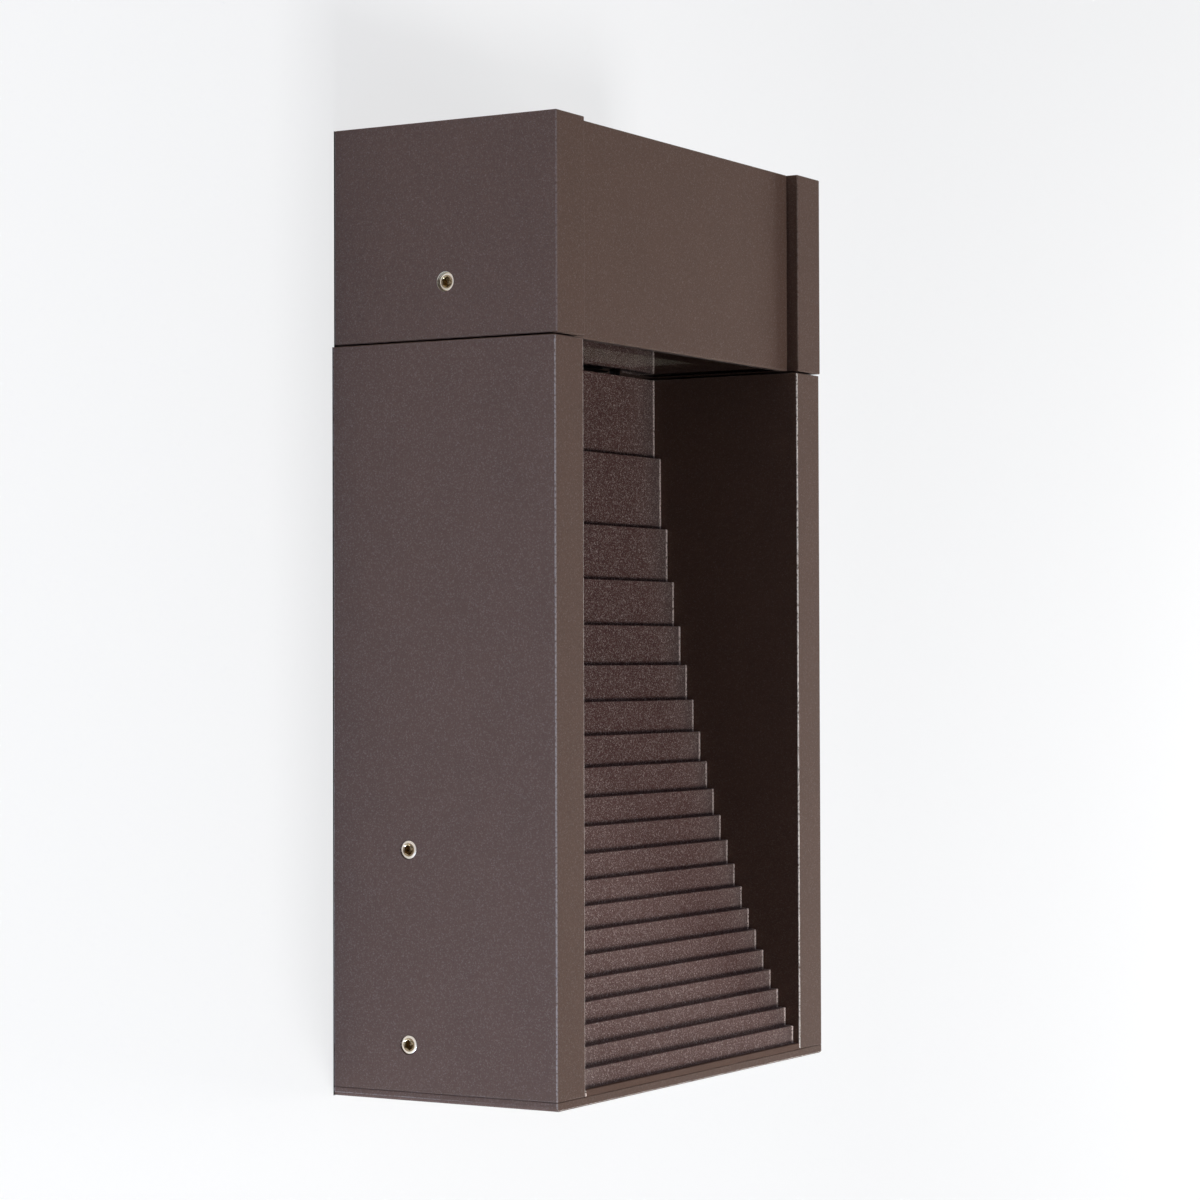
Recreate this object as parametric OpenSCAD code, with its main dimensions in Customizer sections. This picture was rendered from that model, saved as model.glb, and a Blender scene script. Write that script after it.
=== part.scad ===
// Outdoor wall light with a lamp head above a stepped baffle, in millimetres.
// The wall is the plane Y = 0, the light stands out of it towards -Y, +Z is up,
// and the origin is the middle of the face that meets the wall.

/* [Overall size] */
// Width across both side cheeks
width = 175; // [155:1:220]
// Depth from the wall to the front of the cheeks
depth = 81; // [73:1:100]
// Height from the foot to the top of the head
height = 300; // [290:1:340]
// Rounding of the castings' outer edges
edge_r = 0.5; // [0.2:0.1:1]

/* [Head] */
// Height of the lamp head
head_h = 67; // [62:1:80]
// Open joint between the head and the body
seam_gap = 0.6; // [0.4:0.1:1]
// Sideways play that the head is set over by on its bracket
head_shift = 1; // [0:0.1:1.2]
// Set-back of the front panel between the head's cheeks
panel_recess = 4; // [2:0.5:6]
// Thickness of the front panel and of the head's top
cover_t = 3; // [2.5:0.5:4]

/* [Cheeks] */
// Width of one cheek, seen from the front
cheek_w = 16.5; // [15.5:0.5:20]
// Wall of the hollow cheek castings
cheek_wall = 3; // [2.5:0.25:3.5]
// Distance that the cheeks' inner walls stop short of the wall
inner_wall_set_back = 6; // [5:0.5:7]
// Thickness of the lugs inside the cheeks
lug_t = 4; // [3:0.5:4.5]

/* [Stepped baffle] */
// Number of risers
step_count = 21; // [15:1:24]
// Distance of the top riser from the wall
first_riser = 25.5; // [24:0.5:28]
// Depth of the lip below the last riser
lip_w = 2.3; // [2:0.1:3]
// Extra depth of each step over the step above it
step_growth = 0.02; // [0:0.005:0.03]
// Height of the top riser
top_riser_h = 27.6; // [24:0.2:32]
// Height of the lip above the bottom plate
lip_h = 2.2; // [2:0.1:3]
// Radius of the hollow arc that the step edges follow
sweep_r = 600; // [450:10:1200]
// Wall of the baffle casting
baffle_t = 2.5; // [2:0.25:3]
// Thickness of the baffle's two end ribs
rib_t = 3; // [2.5:0.5:4]
// Distance of the end ribs' back edges from the wall
rib_back = 14; // [13:0.5:15]
// Height of the lower cheek lugs above the foot
lug_low_z = 31; // [28:1:36]
// Height of the upper cheek lugs above the foot
lug_high_z = 190; // [175:1:195]

/* [Bottom plate] */
// Thickness of the bottom plate
base_t = 2.7; // [2.4:0.1:4]
// Rounding along the bottom plate's lower side edges
foot_r = 1.5; // [0.6:0.1:2]

/* [Lens stack] */
// Thickness of the glass
glass_t = 4; // [3:0.5:5]
// Set-back of the glass above the panel's lower edge
glass_lift = 0.3; // [0.2:0.1:1]
// Thickness of the mask and of the seal on top of the glass
mask_t = 1; // [0.8:0.1:1.5]
// Width of the seal round the glass
seal_w = 5; // [4:0.5:5.5]
// Width of the mask beside the window
mask_side = 26.8; // [24:0.2:32]
// Width of the mask behind the window
mask_rear = 7.2; // [6.6:0.1:10]
// Width of the mask in front of the window
mask_front = 13; // [12:0.5:16]
// Thickness of the diffuser
diffuser_t = 1.5; // [1:0.25:2]
// Height of the reflector
reflector_h = 10.5; // [9:0.5:13]
// Thickness of the reflector's wall at the board
reflector_wall = 1.5; // [1:0.25:2]
// Spread of the reflector's wall from the board to the window
reflector_flare = 3; // [2:0.5:4]

/* [Lamp tray] */
// Wall of the lamp tray casting
tray_wall = 3; // [2.5:0.25:3.2]
// Thickness of the tray's roof, which carries the board
tray_roof = 5; // [4:0.5:6]
// Height of the cooling fins
fin_h = 13; // [8:1:14]
// Thickness of a cooling fin
fin_t = 2; // [1.5:0.25:2.5]
// Number of cooling fins
fin_count = 11; // [7:1:13]
// Thickness of the lamp board
board_t = 1.6; // [1.2:0.2:2]
// Side of one lamp chip
chip_side = 3.5; // [2.8:0.1:5]
// Lamp chips in a row
chip_columns = 8; // [4:1:10]

/* [Wall bracket] */
// Thickness of the bracket's sheet steel
bracket_t = 2; // [1.5:0.25:2]
// Thickness of the rubber sheet behind the bracket
gasket_t = 1.5; // [1:0.25:1.5]
// Width of the bracket's spine
spine_w = 110; // [104:1:116]
// Height of the bracket's arms and ears
ear_h = 16; // [13:1:17]
// Clearance between an ear and the cheek's outer wall
ear_gap = 1.5; // [1.4:0.1:2]
// Clearance of the ears' holes round the set screws
ear_hole_fit = 0.3; // [0.2:0.05:0.5]
// Radius of the cable hole in the bracket
cable_hole_r = 10; // [8:0.5:11]
// Height of the cable hole above the foot
cable_z = 62; // [58:1:66]
// Hole-to-hole width of the fixing slots
slot_span_x = 84; // [80:1:88]
// Hole-to-hole height of the fixing slots
slot_span_z = 160; // [150:2:170]
// Half width of a fixing slot
slot_r = 2.75; // [2.25:0.25:3]
// Length of a fixing slot from end to end
slot_len = 12; // [10:0.5:14]

/* [Set screws] */
// Radius of a set screw
grub_r = 2.95; // [2.5:0.05:3.2]
// Length of a set screw
grub_len = 8; // [7:0.5:9]
// Hexagon socket of a set screw, across flats
grub_socket = 3; // [2.5:0.5:3.5]
// Distance of the body's set screws from the wall
body_grub_y = 27.8; // [26:0.2:32]
// Height of the body's upper set screws above the foot
body_grub_high_z = 76.8; // [74:0.2:80]
// Height of the body's lower set screws above the foot
body_grub_low_z = 17.2; // [16:0.2:20]
// Distance of the head's set screws from the wall
head_grub_y = 41.1; // [38:0.2:46]
// Height of the head's set screws above the head's lower edge
head_grub_rise = 17.5; // [16:0.2:20]
// How deep the head's set screws sit below the face
head_grub_sink = 0.9; // [0.3:0.1:1.2]

/* [Machine screws] */
// Radius of the assembly screws
screw_r = 2; // [1.5:0.1:2]
// Clearance round a screw in its thread or hole
screw_fit = 0.1; // [0.05:0.05:0.2]
// Clearance between castings that sit side by side
joint_gap = 0.2; // [0.1:0.05:0.3]

/* [Driver] */
// Room for the leads between the driver's case and the baffle's screw bosses
driver_side_gap = 12; // [10:0.5:16]
// Height of the driver's case on the wall
driver_h = 30; // [26:1:32]
// Depth of the driver's case
driver_d = 20; // [16:0.5:21]
// Height of the driver's middle above the foot
driver_z = 112; // [110:1:116]
// Height of the sheet that carries the driver
plate_h = 60; // [54:1:66]
// Thickness of the sheet that carries the driver
plate_t = 1.5; // [1:0.25:2]

/* [Terminal block and wires] */
// Width of one pole of the terminal block
pole_w = 10; // [9:0.5:11]
// Height of the terminal block on the wall
terminal_h = 16; // [14:0.5:17]
// Depth of the terminal block
terminal_d = 16; // [14:0.5:18]
// Height of the terminal block's middle above the foot
terminal_z = 28; // [26:1:32]
// Radius of an insulated wire
wire_r = 1; // [0.8:0.05:1.1]
// Radius of a wire's bends along its middle
wire_bend = 2; // [1.5:0.1:2.2]

/* [Hidden] */
$fn = 40;
bore_fn = 48;
cut = 1;
bronze = [0.33, 0.28, 0.27];
steel = [0.72, 0.72, 0.73];
black = [0.08, 0.08, 0.08];

// Levels above the foot
body_top = height - head_h - seam_gap;
head_bottom = height - head_h;
baffle_top = body_top - joint_gap;
lip_z = base_t + lip_h;
first_tread_z = body_top - top_riser_h;
glass_z = head_bottom + glass_lift;
mask_z = glass_z + glass_t;
tray_z = mask_z + mask_t;
board_z = tray_z + diffuser_t + reflector_h;
cavity_top = board_z + board_t;
tray_top = cavity_top + tray_roof;
cover_boss_h = 6;
cover_lug_z = height - cover_t - cover_boss_h;
head_grub_z = head_bottom + head_grub_rise;
terminal_top = terminal_z + terminal_h / 2;
terminal_end_h = 6.4;
terminal_screw_rise = terminal_end_h / 2;
terminal_screw_z = [terminal_z - terminal_h / 2 - terminal_screw_rise, terminal_top + terminal_screw_rise];

// Faces across the width
boss_wall = 2;
boss_off_rib = 1.8;
inner_x = width / 2 - cheek_w;
head_part_x = inner_x - joint_gap;
boss_r = screw_r + boss_wall;
boss_x = head_part_x - rib_t - boss_off_rib;
lug_reach = inner_x - boss_x + boss_r;
lug_half = boss_r + boss_wall;
ear_x = width / 2 - cheek_wall - ear_gap;
window_x = head_part_x - mask_side;
board_side = 8;
board_x = window_x + board_side;
board_screw_x = board_x - 3;
lead_x = [board_x - 5, board_x - 1.6];
driver_x = boss_x - boss_r - driver_side_gap;
earth_x = spine_w / 2 - 12;

// Faces in depth, as distances from the wall
last_riser = depth - lip_w;
panel_y = depth - panel_recess;
tray_front = panel_y - cover_t - joint_gap;
tray_behind_riser = 0.9;
tray_rear = first_riser - tray_behind_riser;
window_front = tray_front - mask_front;
window_rear = tray_rear + mask_rear;
board_front = 3;
board_rear = 4;
cavity_front = window_front + board_front;
cavity_rear = window_rear - board_rear;
bracket_back = gasket_t;
bracket_front = gasket_t + bracket_t;
wire_y = (rib_back + first_riser - baffle_t) / 2;

// Screws
screw_bite = 4 * screw_r;
thread_depth = screw_bite + screw_r / 2;
thread_r = screw_r + screw_fit;
small_r = screw_r * 0.6;
small_thread_r = small_r + screw_fit;
small_bite = 5 * small_r;
plate_screw_inset = 7;
tray_screw_inset = 11;
plate_screw_z = [driver_z - plate_h / 2 + plate_screw_inset, driver_z + plate_h / 2 - plate_screw_inset];
tray_screw_y = [tray_front - tray_screw_inset, tray_rear + tray_screw_inset];
cover_screw_y = [panel_y - 18, 20];
base_screw_y = [body_grub_y + ear_h / 2 + boss_r + 2, depth - 14];
board_screw_y = [window_front - 3, window_rear + 5];
lead_rise = [board_z - wire_r - 0.2, board_z - wire_r - 3.6];
bracket_arm_z = [body_grub_low_z, body_grub_high_z, head_grub_z];
bracket_arm_y = [body_grub_y, body_grub_y, head_grub_y];
slot_mid_z = height / 2;

// Runs of the leads
lead_pitch = 2 * wire_r + 1.2;
lead_off_case = 3.5;
mains_in = 8;
led_out = 7;
led_out_step = 4;
wire_end = 4;

// Small sizes of the bought parts
ring_t = 0.8;
chip_t = 0.8;
terminal_ear_w = 7;
terminal_ear_t = 3;
terminal_shoulder = 3;
pole_gap = 1.5;
wire_hole_r = 2.2;
driver_ear = 7;
driver_ear_t = 2.5;
driver_ear_h = 10;
grommet_bore_r = 5;
grommet_lip = 2;
grommet_front = 2.5;

// Depth pitch of the first step, such that the steps end at the last riser
first_pitch = (last_riser - first_riser - step_growth * (step_count - 1) * (step_count - 2) / 2)
    / (step_count - 1);

// Centre of the arc through the first and the last step edge
chord = [last_riser - first_riser, lip_z - first_tread_z];
chord_mid = [first_riser + chord.x / 2, first_tread_z + chord.y / 2];
chord_len = norm(chord);
arc_reach = sqrt(sweep_r * sweep_r - chord_len * chord_len / 4) / chord_len;
arc_mid = [chord_mid.x - chord.y * arc_reach, chord_mid.y + chord.x * arc_reach];

// Distance of riser n from the wall, where the riser past the last is the lip's front
function riser_y(n) = n >= step_count ? depth
    : first_riser + first_pitch * n + step_growth * n * (n - 1) / 2;

// Height of the tread in front of riser n, on the arc at even divisions
function tread_z(n) = let (y = first_riser + chord.x * n / (step_count - 1))
    arc_mid.y - sqrt(sweep_r * sweep_r - (arc_mid.x - y) * (arc_mid.x - y));

// Distance of the baffle's face from the wall at height z
function face_y(z) = riser_y(len([for (n = [0:step_count - 1]) if (tread_z(n) > z) n]));

// Height that sets the origin at the middle of the wall face
module on_wall() {
    translate([0, 0, -height / 2]) children();
}

// The head and all that it carries, set over by its play
module in_head() {
    on_wall() translate([head_shift, 0, 0]) children();
}

// Same shape on both sides
module both_sides() {
    children();
    mirror([1, 0, 0]) children();
}

// Points +Z of its child towards the wall
module towards_wall(x, y, z) {
    translate([x, -y, z]) rotate([-90, 0, 0]) children();
}

// Rectangle with true round corners, from the origin
module soft_rect(w, h, r) {
    translate([r, 0]) square([w - 2 * r, h]);
    translate([0, r]) square([w, h - 2 * r]);
    for (x = [r, w - r], y = [r, h - r]) translate([x, y]) circle(r);
}

// Block with its edges rounded in plan, in front view and in side view
module soft_box(size, plan_r, front_r, side_r) {
    intersection() {
        linear_extrude(size.z) soft_rect(size.x, size.y, plan_r);
        translate([0, size.y, 0]) rotate([90, 0, 0])
            linear_extrude(size.y) soft_rect(size.x, size.z, front_r);
        rotate([90, 0, 90]) linear_extrude(size.x) soft_rect(size.y, size.z, side_r);
    }
}

// Block given by its faces: x0 to x1, distances y0 to y1 from the wall, z0 to z1
module block(x0, x1, y0, y1, z0, z1) {
    translate([x0, -y1, z0]) cube([x1 - x0, y1 - y0, z1 - z0]);
}

// Pan head screw that points along +Z, with its head below the origin
module pan_screw(r, length) {
    head_r = r * 1.75;
    rim_h = r * 0.6;
    crown_h = r * 0.5;
    difference() {
        union() {
            cylinder(r = r, h = length);
            translate([0, 0, -rim_h]) cylinder(r = head_r, h = rim_h);
            translate([0, 0, -rim_h - crown_h]) cylinder(r1 = head_r - r * 0.3, r2 = head_r, h = crown_h);
        }
        translate([0, 0, -rim_h - crown_h - cut]) cylinder(r = r * 0.7, h = rim_h + cut, $fn = 6);
    }
}

// Set screw that points along +Z, with its socket at the origin
module set_screw() {
    bevel = 0.4;
    socket_r = grub_socket / sqrt(3);
    difference() {
        union() {
            cylinder(r1 = grub_r - bevel, r2 = grub_r, h = bevel);
            translate([0, 0, bevel]) cylinder(r = grub_r, h = grub_len - 2 * bevel);
            translate([0, 0, grub_len - bevel]) cylinder(r1 = grub_r, r2 = grub_r - bevel, h = bevel);
        }
        translate([0, 0, -cut]) cylinder(r = socket_r, h = grub_socket + cut, $fn = 6);
    }
}

// Angles that turn the X, Y and Z axes onto the unit vectors a, b and c
function turn_to(a, b, c) = abs(a.z) > 0.999
    ? [atan2(-a.z * b.x, b.y), -90 * a.z, 0]
    : [atan2(b.z, c.z), asin(-a.z), atan2(a.y, a.x)];

// Direction of the run that starts at point i
function run_dir(points, i) = (points[i + 1] - points[i]) / norm(points[i + 1] - points[i]);

// Insulated wire along a list of points, with a round quarter bend at each corner
module wire(points) {
    last = len(points) - 1;
    for (i = [0:last - 1]) {
        dir = run_dir(points, i);
        from = points[i] + dir * (i == 0 ? 0 : wire_bend);
        to = points[i + 1] - dir * (i == last - 1 ? 0 : wire_bend);
        translate(from) rotate([0, acos(dir.z), atan2(dir.y, dir.x)])
            cylinder(r = wire_r, h = norm(to - from), $fn = 24);
        if (i > 0) {
            before = run_dir(points, i - 1);
            translate(points[i] + (dir - before) * wire_bend)
                rotate(turn_to(-dir, before, cross(-dir, before)))
                    rotate_extrude(angle = 90, $fn = 24) translate([wire_bend, 0]) circle(wire_r, $fn = 24);
        }
    }
}

// Hollow cheek casting on the left side, open towards the wall
module cheek_shell(z0, z1) {
    x0 = -width / 2;
    hollow_w = cheek_w - 2 * cheek_wall;
    difference() {
        translate([x0, -depth, z0]) soft_box([cheek_w, depth, z1 - z0], edge_r, edge_r, edge_r);
        block(x0 + cheek_wall, x0 + cheek_wall + hollow_w, -cut, depth - cheek_wall,
            z0 + cheek_wall, z1 - cheek_wall);
        block(x0 + cheek_wall, -inner_x + cut, -cut, inner_wall_set_back,
            z0 + cheek_wall, z1 - cheek_wall);
    }
}

// Threaded hole for a set screw through the left cheek's outer wall
module grub_hole(y, z) {
    translate([-width / 2 - cut, -y, z]) rotate([0, 90, 0])
        cylinder(r = grub_r + screw_fit, h = cheek_wall + 2 * cut, $fn = bore_fn);
}

// Left cheek of the body, with the lugs that hold the baffle
module body_cheek() {
    x0 = -width / 2;
    boss_h = thread_depth - cheek_wall + 1;
    difference() {
        union() {
            cheek_shell(base_t, body_top);
            for (z = [lug_low_z, lug_high_z])
                block(-inner_x - cheek_wall, -inner_x + lug_reach, rib_back - lug_t, rib_back,
                    z - lug_half, z + lug_half);
            for (y = base_screw_y)
                block(x0 + cheek_wall - 0.5, -inner_x - cheek_wall + 0.5, y - boss_r, y + boss_r,
                    base_t + cheek_wall - 0.5, base_t + cheek_wall + boss_h);
        }
        for (z = [body_grub_low_z, body_grub_high_z]) grub_hole(body_grub_y, z);
        for (z = [lug_low_z, lug_high_z])
            towards_wall(-boss_x, rib_back + cut, z)
                cylinder(r = thread_r, h = lug_t + 2 * cut, $fn = bore_fn);
        for (y = base_screw_y)
            translate([x0 + cheek_w / 2, -y, base_t - cut])
                cylinder(r = thread_r, h = thread_depth + cut, $fn = bore_fn);
    }
}

module left_cheek() {
    color(bronze) on_wall() body_cheek();
}

module right_cheek() {
    color(bronze) on_wall() mirror([1, 0, 0]) body_cheek();
}

// Screw axes of the bottom plate, as far in as the middle of each cheek
module at_base_screws() {
    for (side = [-1, 1], y = base_screw_y)
        translate([side * (width / 2 - cheek_w / 2), -y, 0]) children();
}

module bottom_plate() {
    sink_r = screw_r * 2;
    color(bronze) on_wall() difference() {
        intersection() {
            translate([-width / 2, -depth, 0])
                soft_box([width, depth, 2 * base_t], edge_r, foot_r, edge_r);
            block(-width / 2, width / 2, 0, depth, 0, base_t);
        }
        at_base_screws() {
            translate([0, 0, -cut]) cylinder(r = thread_r, h = base_t + 2 * cut, $fn = bore_fn);
            translate([0, 0, -0.01])
                cylinder(r1 = sink_r + screw_fit, r2 = thread_r, h = screw_r + 0.01, $fn = bore_fn);
        }
    }
}

module bottom_plate_screws() {
    length = base_t + screw_bite;
    color(steel) on_wall() at_base_screws() difference() {
        union() {
            cylinder(r = screw_r, h = length);
            cylinder(r1 = screw_r * 2, r2 = screw_r, h = screw_r);
        }
        translate([0, 0, -cut]) cylinder(r = screw_r * 0.7, h = screw_r * 0.9 + cut, $fn = 6);
    }
}

// Front outline of the baffle from the top riser down to the lip, as [-Y, Z] points
function step_outline() = concat(
    [[-first_riser, baffle_top]],
    [for (n = [0:step_count - 1]) each [[-riser_y(n), tread_z(n)], [-riser_y(n + 1), tread_z(n)]]]);

// Stepped shell: the front outline and the same outline shifted back and down by the wall
module step_shell_profile() {
    front = step_outline();
    back = [for (i = [len(front) - 1:-1:0]) front[i] + [baffle_t, i == 0 ? 0 : -baffle_t]];
    intersection() {
        polygon(concat(front, [[-depth, 0], [-depth + baffle_t, 0]], back));
        translate([-depth, base_t]) square([depth, baffle_top - base_t]);
    }
}

// End rib: all that lies between the front outline and the back edge
module rib_profile() {
    polygon(concat(step_outline(), [[-depth, base_t], [-rib_back, base_t], [-rib_back, baffle_top]]));
}

// Screw heights on the baffle's ribs: the cheek lugs and the driver's sheet
function baffle_screw_z() = concat([lug_low_z, lug_high_z], plate_screw_z);

module stepped_baffle() {
    color(bronze) on_wall() difference() {
        union() {
            translate([-head_part_x, 0, 0]) rotate([90, 0, 90])
                linear_extrude(2 * head_part_x) step_shell_profile();
            both_sides() {
                translate([-head_part_x, 0, 0]) rotate([90, 0, 90])
                    linear_extrude(rib_t) rib_profile();
                for (z = baffle_screw_z()) {
                    boss_end = face_y(z + boss_r) - baffle_t / 2;
                    towards_wall(-boss_x, boss_end, z) cylinder(r = boss_r, h = boss_end - rib_back);
                }
            }
        }
        both_sides() for (z = baffle_screw_z())
            towards_wall(-boss_x, rib_back + thread_depth, z)
                cylinder(r = thread_r, h = thread_depth + cut, $fn = bore_fn);
    }
}

// Screws whose heads lie on the wall side of a seat at distance y
module rib_screws(y, heights, length) {
    both_sides() for (z = heights)
        translate([-boss_x, -y, z]) rotate([90, 0, 0]) pan_screw(screw_r, length);
}

module baffle_screws() {
    color(steel) on_wall() rib_screws(rib_back - lug_t, [lug_low_z, lug_high_z], lug_t + screw_bite);
}

// Set screws on both sides, sunk below the face
module set_screws(y, heights, sink) {
    both_sides() for (z = heights)
        translate([-width / 2 + sink, -y, z]) rotate([0, 90, 0]) set_screw();
}

module body_grub_screws() {
    color(steel) on_wall() set_screws(body_grub_y, [body_grub_low_z, body_grub_high_z], 0.2);
}

module head_grub_screws() {
    color(steel) in_head() set_screws(head_grub_y, [head_grub_z], head_grub_sink);
}

// Left cheek of the head, with the lugs that carry the lamp tray and the cover
module head_cheek() {
    difference() {
        union() {
            cheek_shell(head_bottom, height);
            for (y = tray_screw_y)
                block(-inner_x - cheek_wall, -inner_x + lug_reach, y - lug_half, y + lug_half,
                    tray_top, tray_top + lug_t);
            for (y = cover_screw_y)
                block(-inner_x - cheek_wall, -inner_x + lug_reach, y - lug_half, y + lug_half,
                    cover_lug_z - lug_t, cover_lug_z);
        }
        grub_hole(head_grub_y, head_grub_z);
        for (y = tray_screw_y)
            translate([-boss_x, -y, tray_top - cut])
                cylinder(r = thread_r, h = lug_t + 2 * cut, $fn = bore_fn);
        for (y = cover_screw_y)
            translate([-boss_x, -y, cover_lug_z - lug_t - cut])
                cylinder(r = thread_r, h = lug_t + 2 * cut, $fn = bore_fn);
    }
}

module head_left_cheek() {
    color(bronze) in_head() head_cheek();
}

module head_right_cheek() {
    color(bronze) in_head() mirror([1, 0, 0]) head_cheek();
}

// Front panel and top in one angled piece, with a rounded outer bend
module head_cover() {
    color(bronze) in_head() difference() {
        union() {
            difference() {
                translate([-head_part_x, -panel_y, head_bottom])
                    soft_box([2 * head_part_x, panel_y, head_h], edge_r, edge_r, edge_r);
                block(-inner_x, inner_x, -cut, panel_y - cover_t, head_bottom - cut, height - cover_t);
            }
            both_sides() for (y = cover_screw_y)
                translate([-boss_x, -y, cover_lug_z])
                    cylinder(r = boss_r, h = height - cover_lug_z - cover_t / 2);
        }
        both_sides() for (y = cover_screw_y)
            translate([-boss_x, -y, cover_lug_z - cut])
                cylinder(r = thread_r, h = height - cover_lug_z - cover_t + 1 + cut, $fn = bore_fn);
    }
}

module cover_screws() {
    color(steel) in_head() both_sides() for (y = cover_screw_y)
        translate([-boss_x, -y, cover_lug_z - lug_t]) pan_screw(screw_r, lug_t + cover_boss_h);
}

module lens() {
    color([0.75, 0.85, 0.8, 0.4]) in_head()
        block(-head_part_x, head_part_x, tray_rear, tray_front, glass_z, mask_z);
}

module lens_seal() {
    color(black) in_head() difference() {
        block(-head_part_x, head_part_x, tray_rear, tray_front, mask_z, tray_z);
        block(-head_part_x + seal_w, head_part_x - seal_w, tray_rear + seal_w, tray_front - seal_w,
            mask_z - cut, tray_z + cut);
    }
}

// Black mask on the glass, with the window that the light leaves by
module lens_bezel() {
    edge_gap = seal_w + joint_gap;
    color(black) in_head() difference() {
        block(-head_part_x + edge_gap, head_part_x - edge_gap, tray_rear + edge_gap,
            tray_front - edge_gap, mask_z, tray_z);
        block(-window_x, window_x, window_rear, window_front, mask_z - cut, tray_z + cut);
    }
}

module diffuser() {
    lap = 1.5;
    color([0.92, 0.93, 0.9]) in_head()
        block(-window_x - lap, window_x + lap, window_rear - lap, window_front + lap,
            tray_z, tray_z + diffuser_t);
}

// Open frame whose inner walls lean out from the board towards the window
module reflector() {
    half_w = window_x + reflector_wall;
    rear = window_rear - reflector_wall;
    front = window_front + reflector_wall;
    low = tray_z + diffuser_t;
    lap = 0.01;
    color("white") in_head() difference() {
        block(-half_w, half_w, rear, front, low, board_z);
        intersection() {
            translate([0, -rear + cut, 0]) rotate([90, 0, 0]) linear_extrude(front - rear + 2 * cut)
                polygon([[-window_x, low - lap], [window_x, low - lap],
                    [window_x - reflector_flare, board_z + lap],
                    [-window_x + reflector_flare, board_z + lap]]);
            translate([-half_w - cut, 0, 0]) rotate([90, 0, 90]) linear_extrude(2 * (half_w + cut))
                polygon([[-window_front, low - lap], [-window_rear, low - lap],
                    [-window_rear - reflector_flare, board_z + lap],
                    [-window_front + reflector_flare, board_z + lap]]);
        }
    }
}

module led_board() {
    color([0.93, 0.94, 0.93]) in_head() difference() {
        block(-board_x, board_x, cavity_rear + joint_gap, cavity_front - joint_gap,
            board_z, cavity_top);
        both_sides() for (y = board_screw_y)
            translate([board_screw_x, -y, board_z - cut])
                cylinder(r = small_thread_r, h = board_t + 2 * cut, $fn = bore_fn);
    }
}

module led_chips() {
    mid_y = (window_front + window_rear) / 2;
    row_y = (window_front - window_rear) / 5;
    pitch = (2 * window_x - 2 * reflector_flare - 2 * chip_side) / (chip_columns - 1);
    color([0.95, 0.8, 0.3]) in_head() for (i = [0:chip_columns - 1], row = [-1, 1])
        translate([(i - (chip_columns - 1) / 2) * pitch - chip_side / 2,
            -mid_y + row * row_y - chip_side / 2, board_z - chip_t])
            cube([chip_side, chip_side, chip_t]);
}

module led_board_screws() {
    color(steel) in_head() both_sides() for (y = board_screw_y)
        translate([board_screw_x, -y, board_z]) pan_screw(small_r, board_t + small_bite);
}

// Cast light box: a roof with fins on top, an outer rim and a rim round the board
module lamp_tray() {
    half_cavity = board_x + 1;
    lap = 0.5;
    fin_span = 2 * (boss_x - boss_r - 3) - fin_t;
    color([0.62, 0.63, 0.64]) in_head() difference() {
        union() {
            difference() {
                block(-head_part_x, head_part_x, tray_rear, tray_front, tray_z, tray_top);
                block(-head_part_x + tray_wall, head_part_x - tray_wall, tray_rear + tray_wall,
                    tray_front - tray_wall, tray_z - cut, cavity_top);
            }
            difference() {
                block(-half_cavity - tray_wall, half_cavity + tray_wall, tray_rear + lap,
                    cavity_front + tray_wall, tray_z, cavity_top + lap);
                block(-half_cavity, half_cavity, cavity_rear, cavity_front, tray_z - cut, cavity_top);
            }
            both_sides() for (y = tray_screw_y)
                translate([-boss_x, -y, tray_z]) cylinder(r = boss_r, h = tray_top - tray_z);
            for (i = [0:fin_count - 1])
                translate([-fin_span / 2 + i * fin_span / (fin_count - 1) - fin_t / 2,
                    -tray_front, tray_top - lap])
                    cube([fin_t, tray_front - tray_rear, fin_h + lap]);
        }
        both_sides() for (y = tray_screw_y)
            translate([-boss_x, -y, tray_top - thread_depth])
                cylinder(r = thread_r, h = thread_depth + cut, $fn = bore_fn);
        both_sides() for (y = board_screw_y)
            translate([board_screw_x, -y, cavity_top - cut])
                cylinder(r = small_thread_r, h = small_bite + lap + cut, $fn = bore_fn);
        for (i = [0, 1])
            towards_wall(lead_x[i], cavity_rear + cut, lead_rise[1 - i])
                cylinder(r = wire_r + 4 * screw_fit, h = cavity_rear - tray_rear + 2 * cut, $fn = bore_fn);
    }
}

module tray_screws() {
    color(steel) in_head() both_sides() for (y = tray_screw_y)
        translate([-boss_x, -y, tray_top + lug_t]) rotate([180, 0, 0])
            pan_screw(screw_r, lug_t + screw_bite);
}

// Slots for the wall screws
module fixing_slots(y0, y1) {
    reach = slot_len / 2 - slot_r;
    for (sx = [-1, 1], sz = [-1, 1])
        translate([sx * slot_span_x / 2, 0, slot_mid_z + sz * slot_span_z / 2]) {
            for (x = [-reach, reach])
                towards_wall(x, y1 + cut, 0)
                    cylinder(r = slot_r, h = y1 - y0 + 2 * cut, $fn = bore_fn);
            block(-reach, reach, y0 - cut, y1 + cut, -slot_r, slot_r);
        }
}

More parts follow.
